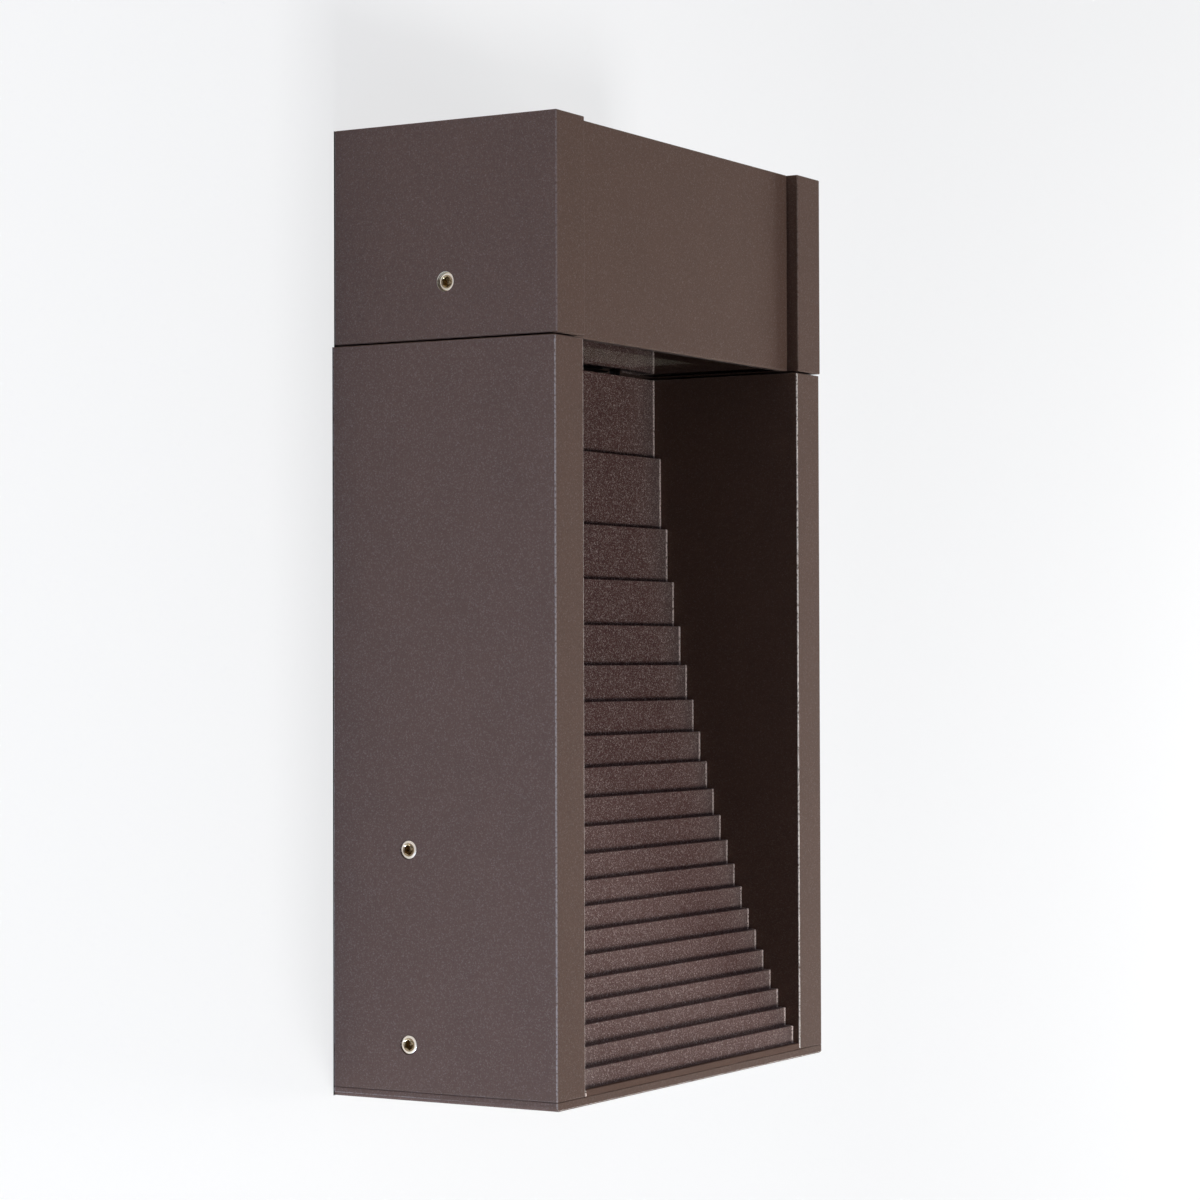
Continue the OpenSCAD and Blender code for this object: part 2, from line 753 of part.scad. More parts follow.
// Folded sheet: a spine on the wall and six ears that the set screws reach through
module wall_bracket() {
    ear_r = ear_h / 2;
    spine_low = bracket_arm_z[0] - ear_r;
    spine_high = bracket_arm_z[2] + ear_r;
    color([0.75, 0.76, 0.77]) on_wall() difference() {
        union() {
            block(-spine_w / 2, spine_w / 2, bracket_back, bracket_front, spine_low, spine_high);
            for (i = [0:2]) {
                block(-ear_x, ear_x, bracket_back, bracket_front,
                    bracket_arm_z[i] - ear_r, bracket_arm_z[i] + ear_r);
                both_sides() {
                    block(-ear_x, -ear_x + bracket_t, bracket_back, bracket_arm_y[i],
                        bracket_arm_z[i] - ear_r, bracket_arm_z[i] + ear_r);
                    translate([-ear_x, -bracket_arm_y[i], bracket_arm_z[i]]) rotate([0, 90, 0])
                        cylinder(r = ear_r, h = bracket_t);
                }
            }
        }
        for (i = [0:2])
            translate([-ear_x - cut, -bracket_arm_y[i], bracket_arm_z[i]]) rotate([0, 90, 0])
                cylinder(r = grub_r + ear_hole_fit, h = 2 * ear_x + 2 * cut, $fn = bore_fn);
        fixing_slots(bracket_back, bracket_front);
        towards_wall(0, bracket_front + cut, cable_z)
            cylinder(r = cable_hole_r, h = bracket_t + 2 * cut, $fn = bore_fn);
        towards_wall(earth_x, bracket_front + cut, terminal_z)
            cylinder(r = thread_r, h = bracket_t + 2 * cut, $fn = bore_fn);
        for (z = terminal_screw_z)
            towards_wall(0, bracket_front + cut, z)
                cylinder(r = small_thread_r, h = bracket_t + 2 * cut, $fn = bore_fn);
    }
}

module wall_gasket() {
    edge = 3;
    screw_room = 1;
    color(black) on_wall() difference() {
        block(-spine_w / 2 + edge, spine_w / 2 - edge, 0, gasket_t,
            bracket_arm_z[0] - ear_h / 2 + edge, bracket_arm_z[2] + ear_h / 2 - edge);
        fixing_slots(0, gasket_t);
        towards_wall(0, gasket_t + cut, cable_z)
            cylinder(r = cable_hole_r + grommet_lip, h = gasket_t + 2 * cut, $fn = bore_fn);
        towards_wall(earth_x, gasket_t + cut, terminal_z)
            cylinder(r = screw_r + screw_room, h = gasket_t + 2 * cut, $fn = bore_fn);
        for (z = terminal_screw_z)
            towards_wall(0, gasket_t + cut, z)
                cylinder(r = small_r + screw_room, h = gasket_t + 2 * cut, $fn = bore_fn);
    }
}

// Rubber bush with a groove that holds the edge of the cable hole
module cable_grommet() {
    groove_r = cable_hole_r - screw_fit;
    play = 0.05;
    front_r = cable_hole_r + grommet_lip;
    rear_r = front_r - 4 * screw_fit;
    rear_lip_t = gasket_t - 0.3;
    groove_z = [grommet_front - play, grommet_front + bracket_t + play];
    end_z = grommet_front + bracket_t + rear_lip_t;
    color(black) on_wall() towards_wall(0, bracket_front + grommet_front, cable_z)
        rotate_extrude($fn = bore_fn) polygon([
            [grommet_bore_r, 0], [cable_hole_r - 1, 0], [front_r, 1], [front_r, groove_z[0]],
            [groove_r, groove_z[0]], [groove_r, groove_z[1]], [rear_r, groove_z[1]],
            [rear_r, end_z], [grommet_bore_r, end_z]]);
}

module earth_screw() {
    color([0.8, 0.65, 0.3]) on_wall()
        translate([earth_x, -bracket_front - ring_t, terminal_z]) rotate([-90, 0, 0])
            pan_screw(screw_r, ring_t + bracket_t + gasket_t - 0.5);
}

// Insulating block with three poles, each with a wire hole and a screw well
module terminal_block() {
    half_w = 1.5 * pole_w;
    y1 = bracket_front + terminal_d;
    z0 = terminal_z - terminal_h / 2;
    z1 = terminal_top;
    color([0.93, 0.93, 0.9]) on_wall() difference() {
        union() {
            block(-half_w, half_w, bracket_front, y1 - terminal_shoulder, z0, z1);
            for (i = [-1:1])
                block(i * pole_w - pole_w / 2 + pole_gap / 2, i * pole_w + pole_w / 2 - pole_gap / 2,
                    bracket_front, y1, z0 + 2, z1 - 2);
            for (flip = [0, 1]) translate([0, 0, terminal_z]) mirror([0, 0, flip])
                block(-terminal_ear_w / 2, terminal_ear_w / 2, bracket_front,
                    bracket_front + terminal_ear_t, terminal_h / 2 - 1, terminal_h / 2 + terminal_end_h);
        }
        for (i = [-1:1]) {
            translate([i * pole_w, -bracket_front - terminal_d / 2, z0 - cut])
                cylinder(r = wire_hole_r, h = terminal_h + 2 * cut, $fn = bore_fn);
            towards_wall(i * pole_w, y1 + cut, terminal_z)
                cylinder(r = wire_hole_r + 2 * screw_fit, h = terminal_d / 2 + cut, $fn = bore_fn);
        }
        for (z = terminal_screw_z)
            towards_wall(0, bracket_front + terminal_ear_t + cut, z)
                cylinder(r = small_thread_r, h = terminal_ear_t + 2 * cut, $fn = bore_fn);
    }
}

module terminal_clamps() {
    color([0.8, 0.65, 0.3]) on_wall() for (i = [-1:1])
        towards_wall(i * pole_w, bracket_front + terminal_d - terminal_shoulder, terminal_z)
            difference() {
                cylinder(r = wire_hole_r, h = terminal_d / 2 - terminal_shoulder - wire_r);
                translate([-wire_hole_r - cut, -0.35, -cut])
                    cube([2 * (wire_hole_r + cut), 0.7, cut + 1]);
            }
}

module terminal_block_screws() {
    color(steel) on_wall() for (z = terminal_screw_z)
        translate([0, -bracket_front - terminal_ear_t, z]) rotate([-90, 0, 0])
            pan_screw(small_r, terminal_ear_t + bracket_t + 0.5);
}

// Sheet across the baffle's ribs
module driver_plate() {
    half_w = boss_x + boss_r;
    color([0.75, 0.76, 0.77]) on_wall() difference() {
        block(-half_w, half_w, rib_back - plate_t, rib_back,
            driver_z - plate_h / 2, driver_z + plate_h / 2);
        both_sides() {
            for (z = plate_screw_z)
                towards_wall(-boss_x, rib_back + cut, z)
                    cylinder(r = thread_r, h = plate_t + 2 * cut, $fn = bore_fn);
            towards_wall(driver_x + driver_ear / 2, rib_back + cut, driver_z)
                cylinder(r = small_thread_r, h = plate_t + 2 * cut, $fn = bore_fn);
        }
    }
}

module driver_plate_screws() {
    color(steel) on_wall() rib_screws(rib_back - plate_t, plate_screw_z, plate_t + screw_bite);
}

module led_driver() {
    low = driver_z - driver_h / 2;
    case_r = 2;
    color([0.9, 0.9, 0.88]) on_wall() difference() {
        union() {
            translate([-driver_x, -rib_back - driver_d, low])
                soft_box([2 * driver_x, driver_d, driver_h], case_r, case_r, case_r);
            block(-driver_x - driver_ear, driver_x + driver_ear, rib_back, rib_back + driver_ear_t,
                driver_z - driver_ear_h / 2, driver_z + driver_ear_h / 2);
        }
        both_sides() towards_wall(driver_x + driver_ear / 2, rib_back + driver_ear_t + cut, driver_z)
            cylinder(r = small_thread_r, h = driver_ear_t + 2 * cut, $fn = bore_fn);
    }
}

module driver_screws() {
    color(steel) on_wall() both_sides()
        translate([driver_x + driver_ear / 2, -rib_back - driver_ear_t, driver_z]) rotate([-90, 0, 0])
            pan_screw(small_r, driver_ear_t + plate_t + 0.5);
}

// Live and neutral from the terminal block past its side and up to the driver
module mains_leads() {
    y_term = bracket_front + terminal_d / 2;
    y_run = rib_back + 3 * wire_bend;
    color("saddlebrown") on_wall() for (i = [0, 1]) {
        x_term = (i - 1) * pole_w;
        x_side = -driver_x - lead_off_case - i * lead_pitch;
        z_turn = terminal_top + wire_bend + i * lead_pitch;
        z_in = driver_z - mains_in + i * lead_pitch;
        wire([[x_term, -y_term, terminal_top - wire_end], [x_term, -y_term, z_turn],
            [x_side, -y_term, z_turn], [x_side, -y_run, z_turn], [x_side, -y_run, z_in],
            [-driver_x, -y_run, z_in]]);
    }
}

// Earth wire from the terminal block to a ring under the earth screw
module earth_lead() {
    y_term = bracket_front + terminal_d / 2;
    z_turn = terminal_top + wire_bend;
    y_ring = bracket_front + wire_r + 0.2;
    ring_r = screw_r * 2.4;
    color("yellowgreen") on_wall() {
        wire([[pole_w, -y_term, terminal_top - wire_end], [pole_w, -y_term, z_turn],
            [earth_x, -y_term, z_turn], [earth_x, -y_ring, z_turn],
            [earth_x, -y_ring, terminal_z + ring_r - 0.6]]);
        towards_wall(earth_x, bracket_front + ring_t, terminal_z) difference() {
            cylinder(r = ring_r, h = ring_t);
            translate([0, 0, -cut]) cylinder(r = thread_r, h = ring_t + 2 * cut, $fn = bore_fn);
        }
    }
}

// Pair from the driver up behind the top riser and through the tray's rear wall to the board
module led_leads() {
    y_end = cavity_rear + 1.5;
    low_z = driver_z + led_out;
    high_z = low_z + led_out_step;
    near_x = driver_x + lead_off_case;
    far_x = near_x + lead_pitch;
    x_end = [for (x = lead_x) x + head_shift];
    color([0.15, 0.15, 0.16]) on_wall() {
        wire([[driver_x, -wire_y, low_z], [far_x, -wire_y, low_z], [far_x, -wire_y, lead_rise[0]],
            [x_end[1], -wire_y, lead_rise[0]], [x_end[1], -y_end, lead_rise[0]]]);
        wire([[driver_x, -wire_y, high_z], [near_x, -wire_y, high_z], [near_x, -wire_y, lead_rise[1]],
            [x_end[0], -wire_y, lead_rise[1]], [x_end[0], -y_end, lead_rise[1]],
            [x_end[0], -y_end, lead_rise[0]]]);
    }
}

wall_bracket();
wall_gasket();
cable_grommet();
earth_screw();
left_cheek();
right_cheek();
bottom_plate();
bottom_plate_screws();
stepped_baffle();
baffle_screws();
body_grub_screws();
head_left_cheek();
head_right_cheek();
head_cover();
cover_screws();
head_grub_screws();
lamp_tray();
tray_screws();
led_board();
led_chips();
led_board_screws();
reflector();
diffuser();
lens_bezel();
lens_seal();
lens();
driver_plate();
driver_plate_screws();
led_driver();
driver_screws();
terminal_block();
terminal_clamps();
terminal_block_screws();
mains_leads();
earth_lead();
led_leads();
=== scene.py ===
# Outdoor wall light: powder-coated castings, stepped baffle, glass, screws and studio light.
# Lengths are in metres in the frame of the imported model: wall at Y = 0, light towards -Y, +Z up.
import math

import bmesh
import bpy
from mathutils import Matrix, Vector


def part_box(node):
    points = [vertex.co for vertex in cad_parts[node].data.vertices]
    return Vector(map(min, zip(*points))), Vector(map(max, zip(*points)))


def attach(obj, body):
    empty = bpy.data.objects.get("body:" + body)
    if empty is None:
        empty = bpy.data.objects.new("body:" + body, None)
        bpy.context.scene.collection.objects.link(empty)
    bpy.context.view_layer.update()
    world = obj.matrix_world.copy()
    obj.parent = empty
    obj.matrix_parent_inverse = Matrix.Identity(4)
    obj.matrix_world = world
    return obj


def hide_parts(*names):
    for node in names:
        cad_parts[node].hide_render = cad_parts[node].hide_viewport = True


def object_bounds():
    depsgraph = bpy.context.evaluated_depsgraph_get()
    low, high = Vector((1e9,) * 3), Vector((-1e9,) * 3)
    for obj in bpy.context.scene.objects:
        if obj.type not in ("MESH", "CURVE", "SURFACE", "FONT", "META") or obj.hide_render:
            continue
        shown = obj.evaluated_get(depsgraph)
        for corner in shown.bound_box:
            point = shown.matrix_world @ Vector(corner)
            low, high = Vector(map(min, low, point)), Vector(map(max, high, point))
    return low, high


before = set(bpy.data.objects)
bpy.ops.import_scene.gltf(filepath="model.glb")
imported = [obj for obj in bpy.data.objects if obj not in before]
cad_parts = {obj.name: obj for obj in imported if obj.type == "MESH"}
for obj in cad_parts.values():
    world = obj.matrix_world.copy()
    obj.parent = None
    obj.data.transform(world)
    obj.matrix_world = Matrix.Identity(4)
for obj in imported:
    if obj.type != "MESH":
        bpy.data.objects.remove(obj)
cad_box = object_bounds()

MM = 0.001

# Camera, solved from the straight edges in the photograph
CAMERA_PLACE = Vector((-0.93404, -0.59453, -0.01596))
CAMERA_YAW = math.radians(59.519)
CAMERA_PITCH = math.radians(1.075)
CAMERA_ROLL = math.radians(0.176)
FOCAL_SHARE = 3316.8 / 1200
SENSOR = 36.0
CLIP_NEAR = 0.01
CLIP_FAR = 50.0

# Clean-up of the CAD meshes
WELD = 0.002 * MM
FLAT_TURN = math.radians(0.3)

# Widths of the broken edges, and the least turn between two faces that makes an edge sharp
EDGE_BREAK = 0.4 * MM
NOSING_ROUND = 0.35 * MM
SHEET_EDGE = 0.15 * MM
GLASS_EDGE = 0.3 * MM
SHARP = math.radians(40)

# Zones: the baffle's steps, the recess between the cheeks, and its front mouth
STEP_FRONT = 25.4 * MM
STEP_END = 70.7 * MM
NOSING_SPAN = 100 * MM
RECESS_HALF = 72.5 * MM
RECESS_TOP = 80.5 * MM
MOUTH_FRONT = 80.0 * MM
BODY_CHEEKS = ("left_cheek", "right_cheek")
HEAD_CHEEKS = ("head_left_cheek", "head_right_cheek")

# Strength of the painted highlight on upright edges, and the parts of a normal that tell flats,
# edges and hole walls
RECESS_EDGE_GLINT = 1.5
OUTER_EDGE_GLINT = 0.3
HEAD_EDGE_GLINT = 0.12
FLAT_NORMAL = 0.995
UPRIGHT_NORMAL = 0.2
HOLE_NORMAL = 0.9
HOLE_REACH = 3.4 * MM

# Threads: loops for each turn, sides, and the groove's depth and flat crest in pitches
THREAD_STEPS = 6
THREAD_SIDES = 24
THREAD_DEPTH = 0.54
THREAD_CREST = 0.15
ON_SHANK = 0.02 * MM

# Machine screws, in shares of the shank's radius; the pan's outline is (inset, depth)
PAN_HEAD = 1.75
PAN_HEIGHT = 1.1
PAN_OUTLINE = ((0.5, 0.0), (0.25, 0.12), (0.06, 0.34), (0.0, 0.6))
PAN_SOCKET_DEPTH = 0.6
FLUSH_HEAD = 2.0
FLUSH_SOCKET_DEPTH = 0.9
SOCKET = 0.7
CHAMFER = 0.12
PITCH = 0.35
THREAD_START = 0.2
POINT_LENGTH = 0.3
POINT_RADIUS = 0.75

# Socket set screws; the rim's outline is (inset, depth) in chamfers
SET_PITCH = 1.0 * MM
SET_KEY = 3.0 * MM
SET_SIDES = 48
SET_CHAMFER = 0.35 * MM
SET_RIM = ((1.6, 0.0), (0.5, 0.35))
SET_THREAD_START = 1.2
SET_LEAD_IN = 0.25 * MM
SET_POINT_LENGTH = 0.6 * MM
SET_POINT_RADIUS = 0.7

# Grime in a socket reaches up to its wall, and this many radii deep
INSIDE_SOCKET = 0.99
SOCKET_REACH = 10


# Geometry helpers

def merged_copy(node):
    """Copy of a CAD node's mesh with its loose triangles joined and its flat faces made whole."""
    mesh = bmesh.new()
    mesh.from_mesh(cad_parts[node].data)
    bmesh.ops.remove_doubles(mesh, verts=mesh.verts, dist=WELD)
    bmesh.ops.dissolve_limit(mesh, angle_limit=FLAT_TURN, verts=mesh.verts, edges=mesh.edges)
    return mesh


def islands(node):
    """Lowest and highest corner of each separate solid of a CAD node, in order of place."""
    mesh = merged_copy(node)
    left = set(mesh.verts)
    boxes = []
    while left:
        front = [left.pop()]
        found = list(front)
        while front:
            vert = front.pop()
            fresh = [e.other_vert(vert) for e in vert.link_edges if e.other_vert(vert) in left]
            left.difference_update(fresh)
            front.extend(fresh)
            found.extend(fresh)
        low = Vector([min(v.co[i] for v in found) for i in range(3)])
        high = Vector([max(v.co[i] for v in found) for i in range(3)])
        boxes.append((low, high))
    mesh.free()
    return sorted(boxes, key=lambda b: tuple(round(x, 5) for x in b[0]))


def mark_edge_glints(mesh):
    """Stores the strength of the painted edge highlight on each face: most on the recess's upright
    edges, nothing on flats.
    """
    layer = mesh.faces.layers.float.new("edge_glint")
    for face in mesh.faces:
        mid = face.calc_center_median()
        if max(abs(c) for c in face.normal) > FLAT_NORMAL or abs(face.normal.z) >= UPRIGHT_NORMAL:
            face[layer] = 0.0
        elif mid.z > RECESS_TOP:
            face[layer] = HEAD_EDGE_GLINT
        else:
            face[layer] = RECESS_EDGE_GLINT if abs(mid.x) < RECESS_HALF else OUTER_EDGE_GLINT


def mark_tapped_hole(mesh, y, z):
    """Stores as bare metal the wall of the tapped hole that enters a side at y, z."""
    layer = mesh.faces.layers.float.new("bare")
    for face in mesh.faces:
        mid = face.calc_center_median()
        near = math.hypot(mid.y - y, mid.z - z) < HOLE_REACH
        face[layer] = 1.0 if near and abs(face.normal.x) < HOLE_NORMAL else 0.0


def kept_in_box(mesh, nodes):
    """Holds a mesh inside the box of the CAD nodes that it stands for."""
    boxes = [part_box(node) for node in nodes]
    low = [min(b[0][i] for b in boxes) for i in range(3)]
    high = [max(b[1][i] for b in boxes) for i in range(3)]
    for vert in mesh.verts:
        vert.co = Vector([min(max(vert.co[i], low[i]), high[i]) for i in range(3)])


def mesh_data(name, mesh):
    """Mesh data made from a bmesh, which is used up."""
    data = bpy.data.meshes.new(name)
    mesh.to_mesh(data)
    mesh.free()
    return data


def placed(name, data):
    """New object in the scene."""
    thing = bpy.data.objects.new(name, data)
    bpy.context.scene.collection.objects.link(thing)
    return thing


def as_piece(name, mesh, material, replaced):
    """Makes the finished mesh an object that rides on the light and stands for CAD nodes."""
    kept_in_box(mesh, replaced)
    mesh.normal_update()
    data = mesh_data(name, mesh)
    data.materials.append(material)
    for face in data.polygons:
        face.use_smooth = True
    data.set_sharp_from_angle(angle=SHARP)
    piece = placed(name, data)
    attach(piece, "root")
    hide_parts(*replaced)
    return piece


def broken_edges(mesh, width, chosen=None):
    """Rounds each sharp outer edge of a mesh, or those of them that are chosen."""
    edges = [e for e in mesh.edges
             if len(e.link_faces) == 2 and e.is_convex and e.calc_face_angle(0) > SHARP
             and (chosen is None or chosen(e))]
    bmesh.ops.bevel(mesh, geom=edges, offset=width, offset_type="OFFSET", segments=3,
                    profile=0.5, affect="EDGES", clamp_overlap=chosen is None, material=-1)


def on_step_outline(edge):
    """Whether an edge of the baffle is a nosing or lies on the outline of its two ends."""
    a, b = (v.co for v in edge.verts)
    front = max(a.y, b.y) < -STEP_FRONT
    nosing = abs(a.x - b.x) > NOSING_SPAN
    end = min(abs(a.x), abs(b.x)) > STEP_END
    return front and (nosing or end)


def on_recess_mouth(edge):
    """Whether an edge is an upright one of the body's cheeks at the mouth of the recess."""
    a, b = (v.co for v in edge.verts)
    return (max(abs(a.x), abs(b.x)) < RECESS_HALF + EDGE_BREAK and max(a.z, b.z) < RECESS_TOP
            and max(a.y, b.y) < -MOUTH_FRONT)


def casting(name, node, material, width=SHEET_EDGE, chosen=None):
    """A CAD casting, sheet or pane with its sharp outer edges broken, or the chosen ones."""
    mesh = merged_copy(node)
    if node in BODY_CHEEKS:
        broken_edges(mesh, EDGE_BREAK, on_recess_mouth)
    broken_edges(mesh, width, chosen)
    mark_edge_glints(mesh)
    if node in HEAD_CHEEKS:
        low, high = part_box("head_grub_screws")
        mark_tapped_hole(mesh, (low.y + high.y) / 2, (low.z + high.z) / 2)
    piece = as_piece(name, mesh, material, [node])
    weighted = piece.modifiers.new("even shading", "WEIGHTED_NORMAL")
    weighted.keep_sharp = True


# Screws, built along +Z with the head's underside at the origin

def ring(verts, radius, height, flats=0.0):
    """Moves a loop of vertices to a radius and height; flats = 1 makes it a hexagon."""
    half = math.pi / 6
    for vert in verts:
        angle = math.atan2(vert.co.y, vert.co.x)
        to_flat = (angle % (2 * half)) - half
        reach = radius * math.cos(half) / math.cos(to_flat)
        r = radius * (1 - flats) + reach * flats
        vert.co = Vector((r * math.cos(angle), r * math.sin(angle), height))


def next_loop(mesh, edges):
    """Extrudes a loop of edges and gives back the new loop's edges and vertices."""
    made = bmesh.ops.extrude_edge_only(mesh, edges=edges)["geom"]
    verts = [g for g in made if isinstance(g, bmesh.types.BMVert)]
    fresh = set(verts)
    edges = [g for g in made if isinstance(g, bmesh.types.BMEdge) and fresh.issuperset(g.verts)]
    return edges, verts


def stacked(mesh, rings, sides=THREAD_SIDES):
    """Fills a mesh with a closed body made of a stack of loops, each (radius, height, flats)."""
    start = bmesh.ops.create_circle(mesh, segments=sides, radius=rings[0][0], cap_ends=False)
    verts = start["verts"]
    edges = list({e for v in verts for e in v.link_edges})
    ring(verts, *rings[0])
    first = list(edges)
    for step in rings[1:]:
        edges, verts = next_loop(mesh, edges)
        ring(verts, *step)
    bmesh.ops.edgeloop_fill(mesh, edges=first)
    bmesh.ops.edgeloop_fill(mesh, edges=edges)


def mark_socket(mesh, radius, rim_height):
    """Stores as grimy the faces inside a socket of that radius, below its rim."""
    layer = mesh.faces.layers.float.new("grime")
    for face in mesh.faces:
        mid = face.calc_center_median()
        inside = math.hypot(mid.x, mid.y) < radius and mid.z > rim_height
        face[layer] = 1.0 if inside and abs(mid.z) < SOCKET_REACH * radius else 0.0


def cut_thread(mesh, radius, pitch, low, high):
    """Presses a helical groove into the loops between two heights."""
    depth = pitch * THREAD_DEPTH
    for vert in mesh.verts:
        r = math.hypot(vert.co.x, vert.co.y)
        if abs(r - radius) > ON_SHANK or not low <= vert.co.z <= high:
            continue
        turn = (vert.co.z / pitch - math.atan2(vert.co.y, vert.co.x) / math.tau) % 1.0
        fade = min(1.0, (vert.co.z - low) / pitch, (high - vert.co.z) / pitch)
        groove = max(0.0, abs(turn - 0.5) * 2 - THREAD_CREST) / (1 - THREAD_CREST)
        share = 1 - depth * groove * fade / radius
        vert.co.x *= share
        vert.co.y *= share


def thread_rings(radius, low, high, pitch):
    """Loops close enough together to carry a thread from low to high."""
    count = max(2, round((high - low) / pitch * THREAD_STEPS))
    return [(radius, low + (high - low) * i / count, 0.0) for i in range(count + 1)]


def pan_screw(radius, length, countersunk=False):
    """Machine screw with a hexagon socket; its head lies below the origin."""
    mesh = bmesh.new()
    pitch = radius * PITCH
    head_r = radius * (FLUSH_HEAD if countersunk else PAN_HEAD)
    top = 0.0 if countersunk else -radius * PAN_HEIGHT
    socket = radius * SOCKET
    depth = radius * (FLUSH_SOCKET_DEPTH if countersunk else PAN_SOCKET_DEPTH)
    chamfer = radius * CHAMFER
    head = [(socket / 4, top + depth, 1.0), (socket, top + depth, 1.0),
            (socket, top + chamfer / 2, 1.0), (socket + chamfer / 2, top, 0.0)]
    if countersunk:
        head += [(head_r - chamfer, top, 0.0), (head_r, top + chamfer * 0.4, 0.0),
                 (radius, top + radius, 0.0)]
        start = radius + radius * THREAD_START
    else:
        head += [(head_r - radius * inset, top + radius * down, 0.0)
                 for inset, down in PAN_OUTLINE]
        head += [(head_r, -chamfer / 2, 0.0), (head_r - chamfer / 2, 0.0, 0.0),
                 (radius, 0.0, 0.0)]
        start = radius * THREAD_START
    tip = length - radius * POINT_LENGTH
    stacked(mesh, head + thread_rings(radius, start, tip, pitch)
            + [(radius * POINT_RADIUS, length, 0.0)])
    cut_thread(mesh, radius, pitch, start, tip)
    mark_socket(mesh, socket * INSIDE_SOCKET, top + chamfer / 2)
    return mesh


def socket_set_screw(radius, length):
    """Set screw with a hexagon socket at the origin, a chamfered rim and a blunt point."""
    mesh = bmesh.new()
    corner = SET_KEY / math.sqrt(3)
    rim = corner + SET_CHAMFER
    start = SET_CHAMFER * SET_THREAD_START
    tip = length - SET_POINT_LENGTH
    socket = [(corner / 5, SET_KEY, 1.0), (corner, SET_KEY * 0.9, 1.0),
              (corner, SET_LEAD_IN, 1.0), (rim, 0.0, 0.0)]
    edge = [(radius - SET_CHAMFER * inset, SET_CHAMFER * down, 0.0) for inset, down in SET_RIM]
    stacked(mesh, socket + edge + thread_rings(radius, start, tip, SET_PITCH)
            + [(radius * SET_POINT_RADIUS, length, 0.0)], sides=SET_SIDES)
    cut_thread(mesh, radius, SET_PITCH, start, tip)
    mark_socket(mesh, rim * INSIDE_SOCKET, -0.01 * MM)
    return mesh


def set_along(mesh, place, axis):
    """Turns a body that points along +Z to an axis and puts its origin at a place."""
    turn = Vector((0, 0, 1)).rotation_difference(Vector(axis)).to_matrix().to_4x4()
    bmesh.ops.transform(mesh, matrix=Matrix.Translation(place) @ turn, verts=mesh.verts)


def join_into(target, mesh):
    """Adds a mesh to another one."""
    data = mesh_data("joined", mesh)
    target.from_mesh(data)
    bpy.data.meshes.remove(data)


def screw_group(name, node, axis, material, countersunk=False):
    """One screw for each solid of a screw node, pointing along axis with its head at the back."""
    axis = Vector(axis)
    along = max(range(3), key=lambda i: abs(axis[i]))
    across = (along + 1) % 3
    group = bmesh.new()
    for low, high in islands(node):
        head_r = (high[across] - low[across]) / 2
        radius = head_r / (FLUSH_HEAD if countersunk else PAN_HEAD)
        reach = high[along] - low[along]
        head_h = 0.0 if countersunk else radius * PAN_HEIGHT
        place = (low + high) / 2
        place[along] = (low if axis[along] > 0 else high)[along] + head_h * axis[along]
        screw = pan_screw(radius, reach - head_h, countersunk)
        set_along(screw, place, axis)
        join_into(group, screw)
    bmesh.ops.recalc_face_normals(group, faces=group.faces)
    as_piece(name, group, material, [node])


def set_screw_group(name, node, material):
    """Socket set screws in both sides, each with its socket outwards."""
    group = bmesh.new()
    for low, high in islands(node):
        side = 1 if low.x > 0 else -1
        radius = (high.z - low.z) / 2
        place = (low + high) / 2
        place.x = high.x if side > 0 else low.x
        screw = socket_set_screw(radius, high.x - low.x)
        set_along(screw, place, (-side, 0, 0))
        join_into(group, screw)
    bmesh.ops.recalc_face_normals(group, faces=group.faces)
    as_piece(name, group, material, [node])


# Shader helpers

COLOUR = "NodeSocketColor"
NUMBER = "NodeSocketFloat"


def new_group(name, inputs, outputs):
    """Empty shader group with inputs (name, kind, default) and outputs (name, kind)."""
    group = bpy.data.node_groups.new(name, "ShaderNodeTree")
    for label, kind, default in inputs:
        socket = group.interface.new_socket(label, in_out="INPUT", socket_type=kind)
        socket.default_value = default
    for label, kind in outputs:
        group.interface.new_socket(label, in_out="OUTPUT", socket_type=kind)
    return group, group.nodes.new("NodeGroupInput"), group.nodes.new("NodeGroupOutput")


def new_material(name):
    """New node material, its node tree and its Principled shader."""
    material = bpy.data.materials.new(name)
    material.use_nodes = True
    return material, material.node_tree, material.node_tree.nodes["Principled BSDF"]


def wire_up(tree, source, target):
    """Links one socket to another."""
    tree.links.new(source, target)


def give(group, result, **values):
    """Links sockets to the outputs of a group, by name."""
    for label, value in values.items():
        wire_up(group, value, result.inputs[label])


def set_or_link(tree, socket, value):
    """Gives a socket a plain value, or links it where the value is a socket."""
    if isinstance(value, bpy.types.NodeSocket):
        wire_up(tree, value, socket)
    else:
        socket.default_value = value


def math_node(tree, operation, a, b=0.0, clamp=False):
    """One step of arithmetic with sockets or numbers."""
    node = tree.nodes.new("ShaderNodeMath")
    node.operation = operation
    node.use_clamp = clamp
    set_or_link(tree, node.inputs[0], a)
    set_or_link(tree, node.inputs[1], b)
    return node.outputs[0]


def product(tree, value, *factors):
    """Product of sockets and numbers, multiplied in order."""
    for factor in factors:
        value = math_node(tree, "MULTIPLY", value, factor)
    return value


def swing(tree, texture, gain):
    """How far a texture lies from its middle value, times a gain."""
    return product(tree, math_node(tree, "SUBTRACT", texture, 0.5), gain)


def remap(tree, value, from_low, from_high, to_low, to_high):
    """Value moved from one range to another, and held inside the second."""
    node = tree.nodes.new("ShaderNodeMapRange")
    set_or_link(tree, node.inputs["Value"], value)
    set_or_link(tree, node.inputs["From Min"], from_low)
    set_or_link(tree, node.inputs["From Max"], from_high)
    set_or_link(tree, node.inputs["To Min"], to_low)
    set_or_link(tree, node.inputs["To Max"], to_high)
    return node.outputs["Result"]


